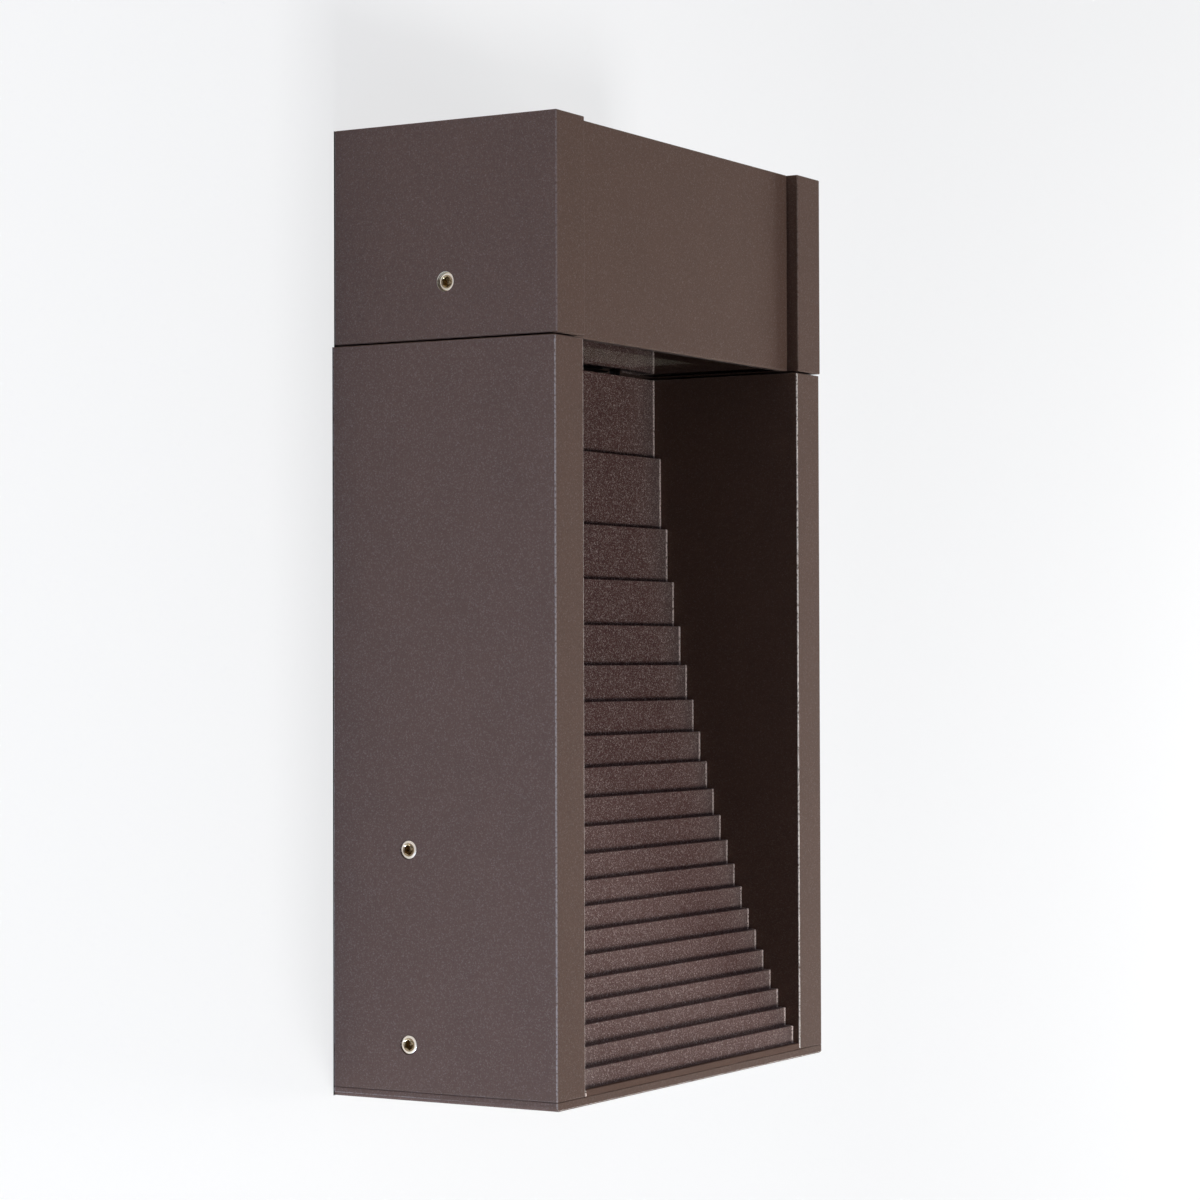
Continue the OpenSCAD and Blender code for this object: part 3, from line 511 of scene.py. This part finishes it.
def mix_colour(tree, share, a, b):
    """Colour a, with a share of colour b."""
    node = tree.nodes.new("ShaderNodeMix")
    node.data_type = "RGBA"
    node.blend_type = "MIX"
    set_or_link(tree, node.inputs[0], share)
    set_or_link(tree, node.inputs[6], a)
    set_or_link(tree, node.inputs[7], b)
    return node.outputs[2]


def mix_shader(tree, share, a, b):
    """Shader a, with a share of shader b."""
    node = tree.nodes.new("ShaderNodeMixShader")
    wire_up(tree, share, node.inputs[0])
    wire_up(tree, a, node.inputs[1])
    wire_up(tree, b, node.inputs[2])
    return node.outputs[0]


def object_place(tree):
    """Place in the object's own frame."""
    return tree.nodes.new("ShaderNodeTexCoord").outputs["Object"]


def split(tree, vector):
    """Sockets X, Y and Z of a vector."""
    node = tree.nodes.new("ShaderNodeSeparateXYZ")
    wire_up(tree, vector, node.inputs[0])
    return node.outputs


def noise(tree, place, scale, detail, roughness):
    """Soft random texture between 0 and 1."""
    node = tree.nodes.new("ShaderNodeTexNoise")
    wire_up(tree, place, node.inputs["Vector"])
    set_or_link(tree, node.inputs["Scale"], scale)
    node.inputs["Detail"].default_value = detail
    node.inputs["Roughness"].default_value = roughness
    return node.outputs["Fac"]


def cells(tree, place, scale):
    """Random number between 0 and 1 for each cell of a texture."""
    node = tree.nodes.new("ShaderNodeTexVoronoi")
    wire_up(tree, place, node.inputs["Vector"])
    set_or_link(tree, node.inputs["Scale"], scale)
    parts = tree.nodes.new("ShaderNodeSeparateColor")
    wire_up(tree, node.outputs["Color"], parts.inputs[0])
    return parts.outputs[0]


def attribute(tree, name):
    """A number stored on the piece's faces; 0 where the piece has none."""
    node = tree.nodes.new("ShaderNodeAttribute")
    node.attribute_name = name
    return node.outputs["Fac"]


def scaled_colour(tree, colour, level):
    """Colour times a level."""
    node = tree.nodes.new("ShaderNodeVectorMath")
    node.operation = "SCALE"
    set_or_link(tree, node.inputs[0], colour)
    set_or_link(tree, node.inputs["Scale"], level)
    return node.outputs[0]


# Powder coat: colour of the pale wash (painted sheen at the step ends), colour of tapped holes,
# and the pitch of their painted thread shade
PALE_WASH = (0.175, 0.135, 0.122, 1.0)
TAPPED_METAL = (0.95, 0.78, 0.56)
TAPPED_PITCH = 0.9 * MM
TAPPED_SHARE = 0.9

# Zones of the baffle's coat: its front lip, the rims of the steps' ends with painted glints, the
# painted shade near the head and the pale wash
LIP_FRONT = -80.0 * MM
LIP_BACK = -79.7 * MM
END_GLINT_START = 69.2 * MM
END_GLINT_FULL = 69.8 * MM
SHEEN_FULL = 70.8 * MM
SHADE_TOP = -20 * MM
WASH_TOP = -30 * MM
STEPS_FOOT = -90 * MM
LOW_WASH = 0.28

# Texture scales of the coat: clouds, and the breaks in the painted glints on edges and step ends
CLOUD_SCALE = 55.0
EDGE_GLINT_BREAKS = 1100.0
END_GLINT_BREAKS = 1500.0

# Metal and plastic: grime in sockets, and how far fine texture changes shade and roughness
SOCKET_GRIME = (0.30, 0.20, 0.08, 1.0)
FINE_SWING = 0.15


def coat_group():
    """Textured powder coat.

    It has grain, mottling, glitter, a plain front lip, painted shade near the head, a pale
    wash on the lower steps, painted sheen at the step ends, painted broken glints on the
    step ends and upright edges, and bare tapped holes with painted thread shade."""
    group, given, result = new_group(
        "powder coat",
        [("Coat", COLOUR, (0.1, 0.1, 0.1, 1)), ("Glitter colour", COLOUR, (0.5, 0.45, 0.4, 1)),
         ("Grain scale", NUMBER, 1500.0), ("Grain contrast", NUMBER, 0.3),
         ("Glitter scale", NUMBER, 2200.0), ("Glitter amount", NUMBER, 0.2),
         ("Mottle", NUMBER, 0.08), ("Edge wear", NUMBER, 0.4), ("Gloss spread", NUMBER, 0.6),
         ("Sheen from", NUMBER, 0.045), ("Dust amount", NUMBER, 0.0),
         ("Rim amount", NUMBER, 0.0), ("Foot dust", NUMBER, 0.0), ("Lip", NUMBER, 0.0),
         ("Lip coat", COLOUR, (0.1, 0.1, 0.1, 1))],
        [("Colour", COLOUR), ("Roughness", NUMBER), ("Metal", NUMBER), ("Height", NUMBER)])
    given = given.outputs
    place = object_place(group)
    xyz = split(group, place)
    grain = noise(group, place, given["Grain scale"], detail=3.0, roughness=0.6)
    clouds = noise(group, place, CLOUD_SCALE, detail=3.0, roughness=0.55)
    spots = cells(group, place, given["Glitter scale"])

    # The baffle's front lip has the cheeks' plain coat
    lip = product(group, remap(group, xyz["Y"], LIP_FRONT, LIP_BACK, 1.0, 0.0), given["Lip"])
    behind_lip = math_node(group, "SUBTRACT", 1.0, lip)
    glitter = product(group, math_node(group, "POWER", spots, 6.0),
                      product(group, behind_lip, given["Glitter amount"]))
    mottling = math_node(group, "ADD", swing(group, grain, given["Grain contrast"]),
                         swing(group, clouds, given["Mottle"]))
    level = math_node(group, "ADD", 1.0, mottling)

    # Painted shade: the coat is darker near the head and less so towards the foot of the steps
    shade = remap(group, xyz["Z"], SHADE_TOP, STEPS_FOOT, -1.0, -0.2)
    level = math_node(group, "ADD", level, product(group, shade, behind_lip, given["Foot dust"]))
    base = mix_colour(group, lip, given["Coat"], given["Lip coat"])
    coat = scaled_colour(group, base, level)

    # A pale wash grows towards the two ends of each step, as painted sheen, and a fainter one lies
    # on the lower steps
    side = math_node(group, "ABSOLUTE", xyz["X"])
    ends = remap(group, side, given["Sheen from"], SHEEN_FULL, 0.0, 1.0)
    low = remap(group, xyz["Z"], WASH_TOP, STEPS_FOOT, 0.0, LOW_WASH)
    pale_wash = math_node(group, "ADD", math_node(group, "POWER", ends, 2.0), low)
    pale_wash = product(group, pale_wash, behind_lip, given["Dust amount"])
    washed = mix_colour(group, pale_wash, coat, PALE_WASH)

    # Painted highlights: broken pale glints on upright edges and on the rims of the step ends;
    # tapped holes show bare metal
    edge_glint_breaks = remap(group, noise(group, place, EDGE_GLINT_BREAKS, detail=3.0, roughness=0.65),
                0.34, 0.54, 0.0, 1.0)
    end_glint_breaks = remap(group, noise(group, place, END_GLINT_BREAKS, detail=3.0, roughness=0.65),
                  0.40, 0.52, 0.0, 1.0)
    rim = product(group, remap(group, side, END_GLINT_START, END_GLINT_FULL, 0.0, 1.0),
                  product(group, behind_lip, given["Rim amount"]))
    edge_glint = product(group, attribute(group, "edge_glint"), edge_glint_breaks, given["Edge wear"])
    edge_glint = math_node(group, "MAXIMUM", edge_glint, product(group, rim, end_glint_breaks), clamp=True)
    tapped = product(group, attribute(group, "bare"), TAPPED_SHARE)
    # Painted thread shade: rings of dark grooves and pale crests at the thread pitch on the tapped
    # hole's wall
    turns = product(group, xyz["X"], math.tau / TAPPED_PITCH)
    painted_thread_shade = remap(group, math_node(group, "SINE", turns), -0.4, 0.6, 0.12, 1.0)
    # bare carries the painted glints and the glitter as well as the bare metal of tapped holes
    bare = math_node(group, "MAXIMUM", math_node(group, "MAXIMUM", edge_glint, tapped), glitter)
    colour = mix_colour(group, bare, washed, given["Glitter colour"])
    colour = mix_colour(group, tapped, colour, scaled_colour(group, TAPPED_METAL, painted_thread_shade))

    rough = math_node(group, "SUBTRACT", given["Gloss spread"], product(group, bare, 0.25))
    rough = math_node(group, "ADD", rough, product(group, grain, 0.12))
    give(group, result, Colour=colour, Roughness=rough, Metal=product(group, bare, 0.3),
         Height=grain)
    return group


def metal_group():
    """Rolled or drawn metal: spangles, a fine grain and grime in the sockets."""
    group, given, result = new_group(
        "worked metal",
        [("Metal colour", COLOUR, (0.6, 0.6, 0.6, 1)), ("Spangle scale", NUMBER, 120.0),
         ("Spangle contrast", NUMBER, 0.15), ("Base roughness", NUMBER, 0.35)],
        [("Colour", COLOUR), ("Roughness", NUMBER), ("Height", NUMBER)])
    given = given.outputs
    place = object_place(group)
    spangle = cells(group, place, given["Spangle scale"])
    fine = noise(group, place, 1800.0, detail=3.0, roughness=0.6)
    gain = math_node(group, "ADD", swing(group, spangle, given["Spangle contrast"]),
                     swing(group, fine, FINE_SWING))
    shade = scaled_colour(group, given["Metal colour"], math_node(group, "ADD", 1.0, gain))
    grime = product(group, attribute(group, "grime"), remap(group, fine, 0.3, 0.7, 0.75, 1.0))
    shade = mix_colour(group, grime, shade, SOCKET_GRIME)
    rough = math_node(group, "ADD", given["Base roughness"], swing(group, fine, FINE_SWING))
    give(group, result, Colour=shade, Roughness=rough, Height=fine)
    return group


def moulded_group():
    """Moulded or printed plastic and rubber: faint cloudiness and a fine skin."""
    group, given, result = new_group(
        "moulded skin",
        [("Body colour", COLOUR, (0.5, 0.5, 0.5, 1)), ("Skin scale", NUMBER, 1500.0),
         ("Cloud", NUMBER, 0.06), ("Base roughness", NUMBER, 0.5)],
        [("Colour", COLOUR), ("Roughness", NUMBER), ("Height", NUMBER)])
    given = given.outputs
    place = object_place(group)
    skin = noise(group, place, given["Skin scale"], detail=2.0, roughness=0.5)
    clouds = noise(group, place, 90.0, detail=3.0, roughness=0.5)
    level = math_node(group, "ADD", 1.0, swing(group, clouds, given["Cloud"]))
    shade = scaled_colour(group, given["Body colour"], level)
    rough = math_node(group, "ADD", given["Base roughness"], swing(group, skin, FINE_SWING))
    give(group, result, Colour=shade, Roughness=rough, Height=skin)
    return group


COAT = coat_group()
METAL = metal_group()
MOULDED = moulded_group()


# Materials of the light

def rgb(red, green, blue):
    """Opaque colour."""
    return (red, green, blue, 1.0)


def finish_with(name, group, values, bump_depth, **plain):
    """Material with colour, roughness and height from a group and the rest as plain values."""
    material, tree, shader = new_material(name)
    node = tree.nodes.new("ShaderNodeGroup")
    node.node_tree = group
    for label, value in values.items():
        node.inputs[label].default_value = value
    wire_up(tree, node.outputs["Colour"], shader.inputs["Base Color"])
    wire_up(tree, node.outputs["Roughness"], shader.inputs["Roughness"])
    if "Metal" in node.outputs:
        wire_up(tree, node.outputs["Metal"], shader.inputs["Metallic"])
    bump = tree.nodes.new("ShaderNodeBump")
    bump.inputs["Strength"].default_value = 1.0
    bump.inputs["Distance"].default_value = bump_depth
    wire_up(tree, node.outputs["Height"], bump.inputs["Height"])
    wire_up(tree, bump.outputs["Normal"], shader.inputs["Normal"])
    for label, value in plain.items():
        shader.inputs[label.replace("_", " ")].default_value = value
    return material


def powder_coat(name, coat, glitter, grain, bump_depth, sheen, **more):
    """Powder coat: its colour, glitter (scale, amount), grain (scale, contrast) and sheen."""
    values = {"Coat": rgb(*coat), "Glitter colour": rgb(0.80, 0.74, 0.68),
              "Glitter scale": glitter[0], "Glitter amount": glitter[1],
              "Grain scale": grain[0], "Grain contrast": grain[1],
              "Mottle": 0.14, "Edge wear": 0.75, "Gloss spread": 0.80}
    values.update({label.replace("_", " "): value for label, value in more.items()})
    return finish_with(name, COAT, values, bump_depth, Specular_IOR_Level=sheen)


def worked_metal(name, colour, spangle_scale, contrast, roughness):
    """Bare or plated metal."""
    return finish_with(name, METAL, {
        "Metal colour": colour, "Spangle scale": spangle_scale, "Spangle contrast": contrast,
        "Base roughness": roughness}, 0.004 * MM, Metallic=1.0)


def moulded(name, colour, roughness, cloud=0.06, **plain):
    """Plastic, rubber, print or resin."""
    return finish_with(name, MOULDED, {
        "Body colour": colour, "Cloud": cloud, "Base roughness": roughness}, 0.01 * MM, **plain)


def overprint(material, share, colour):
    """Lays a second colour over a material's own, by a share."""
    tree = material.node_tree
    target = tree.nodes["Principled BSDF"].inputs["Base Color"]
    wire_up(tree, mix_colour(tree, share, target.links[0].from_socket, colour), target)
    return material


def striped_wire(name, first, second):
    """Two-coloured insulation with a stripe along each side of the wire."""
    material = moulded(name, first, 0.4)
    tree = material.node_tree
    normal = split(tree, tree.nodes.new("ShaderNodeNewGeometry").outputs["Normal"])
    side = product(tree, normal["X"], normal["Z"])
    stripe = math_node(tree, "GREATER_THAN", math_node(tree, "ADD", side, normal["Y"]), 0.35)
    return overprint(material, stripe, second)


def board_print():
    """White solder mask with printed copper lanes that show as faint lines."""
    material = moulded("board white", rgb(0.80, 0.82, 0.80), 0.45)
    tree = material.node_tree
    wave = tree.nodes.new("ShaderNodeTexWave")
    wave.bands_direction = "Y"
    wave.inputs["Scale"].default_value = 28.0
    wire_up(tree, object_place(tree), wave.inputs["Vector"])
    lane = math_node(tree, "GREATER_THAN", wave.outputs["Fac"], 0.93)
    return overprint(material, product(tree, lane, 0.5), rgb(0.62, 0.66, 0.60))


def lamp_glass():
    """Clear toughened glass with a faint green tint and a slight film on its surface."""
    material, tree, shader = new_material("toughened glass")
    shader.inputs["Transmission Weight"].default_value = 1.0
    shader.inputs["IOR"].default_value = 1.5
    film = noise(tree, object_place(tree), 45.0, detail=3.0, roughness=0.6)
    tint = mix_colour(tree, remap(tree, film, 0.3, 0.7, 0.0, 1.0), rgb(0.90, 0.93, 0.89),
                      rgb(0.84, 0.88, 0.84))
    wire_up(tree, tint, shader.inputs["Base Color"])
    wire_up(tree, remap(tree, film, 0.3, 0.7, 0.0, 0.012), shader.inputs["Roughness"])
    return material


bronze = powder_coat(
    "bronze powder coat", coat=(0.0865, 0.0448, 0.0295), glitter=(3200.0, 0.06),
    grain=(2400.0, 0.8), bump_depth=0.04 * MM, sheen=0.4)
steps_coat = powder_coat(
    "stepped baffle powder coat", coat=(0.0880, 0.0375, 0.0315), glitter=(3600.0, 0.32),
    grain=(3200.0, 1.2), bump_depth=0.07 * MM, sheen=0.2, Glitter_colour=rgb(0.84, 0.70, 0.63),
    Dust_amount=0.4, Rim_amount=1.2, Foot_dust=0.36, Lip=1.0, Lip_coat=rgb(0.095, 0.051, 0.035))
zinc = worked_metal("zinc-plated sheet", rgb(0.62, 0.64, 0.66), 160.0, 0.35, 0.38)
nickel = worked_metal("nickel-plated screw", rgb(0.99, 0.89, 0.75), 900.0, 0.06, 0.22)
brass = worked_metal("machined brass", rgb(0.78, 0.57, 0.25), 700.0, 0.1, 0.3)
cast_metal = worked_metal("blasted cast aluminium", rgb(0.55, 0.56, 0.57), 600.0, 0.2, 0.55)


# Castings and plates; the head cover keeps a sharp edge at its foot

panel_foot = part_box("head_cover")[0].z + SHEET_EDGE


def above_panel_foot(edge):
    """Whether an edge of the head cover lies above its foot."""
    return max(v.co.z for v in edge.verts) > panel_foot


for node in BODY_CHEEKS + HEAD_CHEEKS + ("bottom_plate",):
    casting(node + "_casting", node, bronze)
casting("head_cover_casting", "head_cover", bronze, SHEET_EDGE, above_panel_foot)
casting("stepped_baffle_casting", "stepped_baffle", steps_coat, NOSING_ROUND,
        on_step_outline)
casting("lamp_tray_casting", "lamp_tray", cast_metal)
casting("wall_bracket_sheet", "wall_bracket", zinc)
casting("driver_sheet", "driver_plate", zinc)
casting("lens_pane", "lens", lamp_glass(), GLASS_EDGE)

# Screws, each with the direction in which it points

set_screw_group("body_set_screws", "body_grub_screws", nickel)
set_screw_group("head_set_screws", "head_grub_screws", nickel)
for name, node, axis, material, slot in (
        ("baffle_pan_screws", "baffle_screws", (0, -1, 0), nickel, "screw_steel"),
        ("driver_plate_pan_screws", "driver_plate_screws", (0, -1, 0), nickel, "screw_steel"),
        ("driver_pan_screws", "driver_screws", (0, 1, 0), nickel, "screw_steel"),
        ("terminal_pan_screws", "terminal_block_screws", (0, 1, 0), nickel, "screw_steel"),
        ("earth_pan_screw", "earth_screw", (0, 1, 0), brass, "clamp_brass"),
        ("cover_pan_screws", "cover_screws", (0, 0, 1), nickel, "screw_steel"),
        ("tray_pan_screws", "tray_screws", (0, 0, -1), nickel, "screw_steel"),
        ("board_pan_screws", "led_board_screws", (0, 0, 1), nickel, "screw_steel")):
    screw_group(name, node, axis, material)
screw_group("bottom_plate_flush_screws", "bottom_plate_screws", (0, 0, 1), nickel,
            countersunk=True)

# Finishes of the CAD nodes that keep their shape

FINISHES = {
    "wall_gasket": moulded("cellular rubber", rgb(0.035, 0.035, 0.037), 0.85, 0.3),
    "cable_grommet": moulded("rubber bush", rgb(0.03, 0.03, 0.03), 0.6, 0.15),
    "led_board": board_print(),
    "led_chips": moulded("phosphor resin", rgb(0.85, 0.62, 0.12), 0.25, 0.2, Coat_Weight=0.6),
    "reflector": moulded("glossy white reflector", rgb(0.85, 0.85, 0.84), 0.2, 0.03),
    "diffuser": moulded("opal diffuser", rgb(0.56, 0.52, 0.45), 0.5, 0.04),
    "lens_bezel": moulded("black mask print", rgb(0.012, 0.012, 0.012), 0.6, 0.1),
    "lens_seal": moulded("silicone seal", rgb(0.02, 0.02, 0.02), 0.55, 0.1),
    "led_driver": moulded("driver case", rgb(0.74, 0.74, 0.71), 0.5, 0.05),
    "terminal_block": moulded("terminal block", rgb(0.80, 0.79, 0.72), 0.4, 0.05),
    "terminal_clamps": brass,
    "mains_leads": moulded("brown insulation", rgb(0.12, 0.045, 0.02), 0.4, 0.1),
    "earth_lead": striped_wire("earth insulation", rgb(0.09, 0.32, 0.04), rgb(0.75, 0.62, 0.04)),
    "led_leads": moulded("black insulation", rgb(0.02, 0.02, 0.022), 0.4, 0.1),
}
for node, material in FINISHES.items():
    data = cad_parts[node].data
    data.materials.clear()
    data.materials.append(material)


# Wall, floor and light

WALL_HALF = 3.0
WALL_GAP = 0.2 * MM
WALL_GLOW = 0.72
FLOOR_Z = -1.6
FLOOR_GLOW = 0.6
BACKDROP = rgb(0.965, 0.97, 0.975)
BACKDROP_LEVEL = 0.95
GLOW_HALF = 0.3
GLOW_LEFT = 1.11
GLOW_RIGHT = 0.935


def seen_rays(tree, *kinds):
    """1 for rays from the camera, rays through glass and the further kinds, 0 for others."""
    path = tree.nodes.new("ShaderNodeLightPath").outputs
    seen = math_node(tree, "MAXIMUM", path["Is Camera Ray"], path["Is Transmission Ray"])
    for kind in kinds:
        seen = math_node(tree, "MAXIMUM", seen, path[kind])
    return seen


def stage_white(name, colour, shown):
    """Pale matt surface that glows by a share, so that only soft shadows show on it.

    It is clear from behind, and its glow falls off from left to right."""
    material, tree, shader = new_material(name)
    tree.nodes.remove(shader)
    matt = tree.nodes.new("ShaderNodeBsdfDiffuse")
    matt.inputs["Color"].default_value = colour
    glow = tree.nodes.new("ShaderNodeEmission")
    glow.inputs["Color"].default_value = BACKDROP
    xyz = split(tree, object_place(tree))
    wire_up(tree, remap(tree, xyz["X"], -GLOW_HALF, GLOW_HALF, GLOW_LEFT, GLOW_RIGHT),
            glow.inputs["Strength"])
    clear = tree.nodes.new("ShaderNodeBsdfTransparent")
    share = product(tree, seen_rays(tree), shown)
    lit = mix_shader(tree, share, matt.outputs[0], glow.outputs[0])
    back = tree.nodes.new("ShaderNodeNewGeometry").outputs["Backfacing"]
    wire_up(tree, mix_shader(tree, back, lit, clear.outputs[0]),
            tree.nodes["Material Output"].inputs["Surface"])
    return material


def painted_gap_shade():
    """The wall right behind the light: painted shade, dark to the eye as in a closed gap, and
    clear to light.
    """
    material, tree, shader = new_material("wall behind the light")
    shader.inputs["Base Color"].default_value = rgb(0.012, 0.011, 0.011)
    clear = tree.nodes.new("ShaderNodeBsdfTransparent")
    back = tree.nodes.new("ShaderNodeNewGeometry").outputs["Backfacing"]
    front = math_node(tree, "SUBTRACT", 1.0, back)
    dark = product(tree, seen_rays(tree, "Is Glossy Ray"), front)
    wire_up(tree, mix_shader(tree, dark, clear.outputs[0], shader.outputs[0]),
            tree.nodes["Material Output"].inputs["Surface"])
    return material


def stage_object(name, mesh, material):
    """Object of the stage, which isn't part of the light."""
    data = mesh_data(name, mesh)
    data.materials.append(material)
    thing = placed(name, data)
    return thing


def covered_wall():
    """Left, right, foot and top of the wall behind the body, the head and the seam between."""
    body, head = [(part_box(part + "left_cheek")[0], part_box(part + "right_cheek")[1])
                  for part in ("", "head_")]
    seam_foot, seam_top = body[1].z, head[0].z
    return [(body[0].x, body[1].x, cad_box[0].z, seam_foot),
            (head[0].x, head[1].x, seam_top, head[1].z),
            (head[0].x, head[1].x, seam_foot, seam_top)]


def wall():
    """Wall plane that faces -Y; right behind the light it shows painted gap shade and lets light
    through from the back.
    """
    covered = covered_wall()
    mesh = bmesh.new()
    turn = Matrix.Translation((0, WALL_GAP, 0)) @ Matrix.Rotation(math.radians(90), 4, "X")
    bmesh.ops.create_grid(mesh, x_segments=1, y_segments=1, size=WALL_HALF, matrix=turn)
    cuts = [((x, 0, 0), (1, 0, 0)) for box in covered for x in box[:2]]
    cuts += [((0, 0, z), (0, 0, 1)) for box in covered for z in box[2:]]
    for place, axis in cuts:
        bmesh.ops.bisect_plane(mesh, geom=mesh.verts[:] + mesh.edges[:] + mesh.faces[:],
                               plane_co=place, plane_no=axis)
    for face in mesh.faces:
        mid = face.calc_center_median()
        face.material_index = int(any(left < mid.x < right and foot < mid.z < top
                                      for left, right, foot, top in covered))
    thing = stage_object("wall", mesh, stage_white("white wall", rgb(0.90, 0.90, 0.90), WALL_GLOW))
    thing.data.materials.append(painted_gap_shade())


def floor():
    """Pale floor far below the light."""
    mesh = bmesh.new()
    bmesh.ops.create_grid(mesh, x_segments=1, y_segments=1, size=2 * WALL_HALF,
                          matrix=Matrix.Translation((0, 0, FLOOR_Z)))
    stage_object("floor", mesh, stage_white("pale floor", rgb(0.78, 0.78, 0.77), FLOOR_GLOW))


def soft_box(name, azimuth, elevation, distance, width, height, level, colour=(1, 1, 1)):
    """Soft light seen from the light fitting at azimuth (0 = front, 90 = right) and elevation.

    level is what a white surface that faces the lamp would show, where 1 is white."""
    a, e = math.radians(azimuth), math.radians(elevation)
    towards = Vector((math.sin(a) * math.cos(e), -math.cos(a) * math.cos(e), math.sin(e)))
    data = bpy.data.lights.new(name, "AREA")
    data.shape = "RECTANGLE"
    data.size = width
    data.size_y = height
    data.energy = level * math.pi ** 2 * distance ** 2
    data.color = colour
    lamp = placed(name, data)
    lamp.location = towards * distance
    lamp.rotation_euler = towards.to_track_quat("Z", "Y").to_euler()


def world_light(level, colour):
    """Even light from all around; the camera and the glass see the backdrop instead."""
    world = bpy.data.worlds.new("studio")
    bpy.context.scene.world = world
    world.use_nodes = True
    tree = world.node_tree
    room = tree.nodes["Background"]
    room.inputs["Color"].default_value = rgb(*colour)
    room.inputs["Strength"].default_value = level
    white = tree.nodes.new("ShaderNodeBackground")
    white.inputs["Color"].default_value = BACKDROP
    white.inputs["Strength"].default_value = BACKDROP_LEVEL
    wire_up(tree, mix_shader(tree, seen_rays(tree), room.outputs[0], white.outputs[0]),
            tree.nodes["World Output"].inputs["Surface"])


def camera():
    """The photograph's camera."""
    data = bpy.data.cameras.new("camera")
    data.sensor_width = SENSOR
    data.lens = FOCAL_SHARE * SENSOR
    data.clip_start = CLIP_NEAR
    data.clip_end = CLIP_FAR
    yaw, pitch, roll = CAMERA_YAW, CAMERA_PITCH, CAMERA_ROLL
    forward = Vector((math.sin(yaw) * math.cos(pitch), math.cos(yaw) * math.cos(pitch),
                      math.sin(pitch)))
    right = Vector((math.cos(yaw), -math.sin(yaw), 0))
    down = forward.cross(right)
    x_axis = right * math.cos(roll) + down * math.sin(roll)
    y_axis = right * math.sin(roll) - down * math.cos(roll)
    view = placed("camera", data)
    view.matrix_world = Matrix.Translation(CAMERA_PLACE) @ Matrix(
        (x_axis, y_axis, -forward)).transposed().to_4x4()
    bpy.context.scene.camera = view


wall()
floor()
soft_box("front soft light", azimuth=4.5, elevation=-26, distance=1.25, width=0.5, height=0.4,
         level=0.58)
soft_box("right soft light", azimuth=70, elevation=-10, distance=1.4, width=0.5, height=0.4,
         level=0.55, colour=(1.0, 0.985, 0.96))
soft_box("left strip light", azimuth=-91, elevation=-36, distance=1.3, width=0.13, height=0.5,
         level=2.15, colour=(0.71, 0.96, 1.38))
soft_box("rear soft light", azimuth=180, elevation=15, distance=1.6, width=1.2, height=1.2,
         level=0.5)
soft_box("top soft light", azimuth=0, elevation=88.8, distance=1.4, width=0.6, height=0.04,
         level=0.5)
world_light(level=0.23, colour=(0.96, 0.98, 1.15))
camera()
bpy.context.scene.view_settings.view_transform = "Standard"
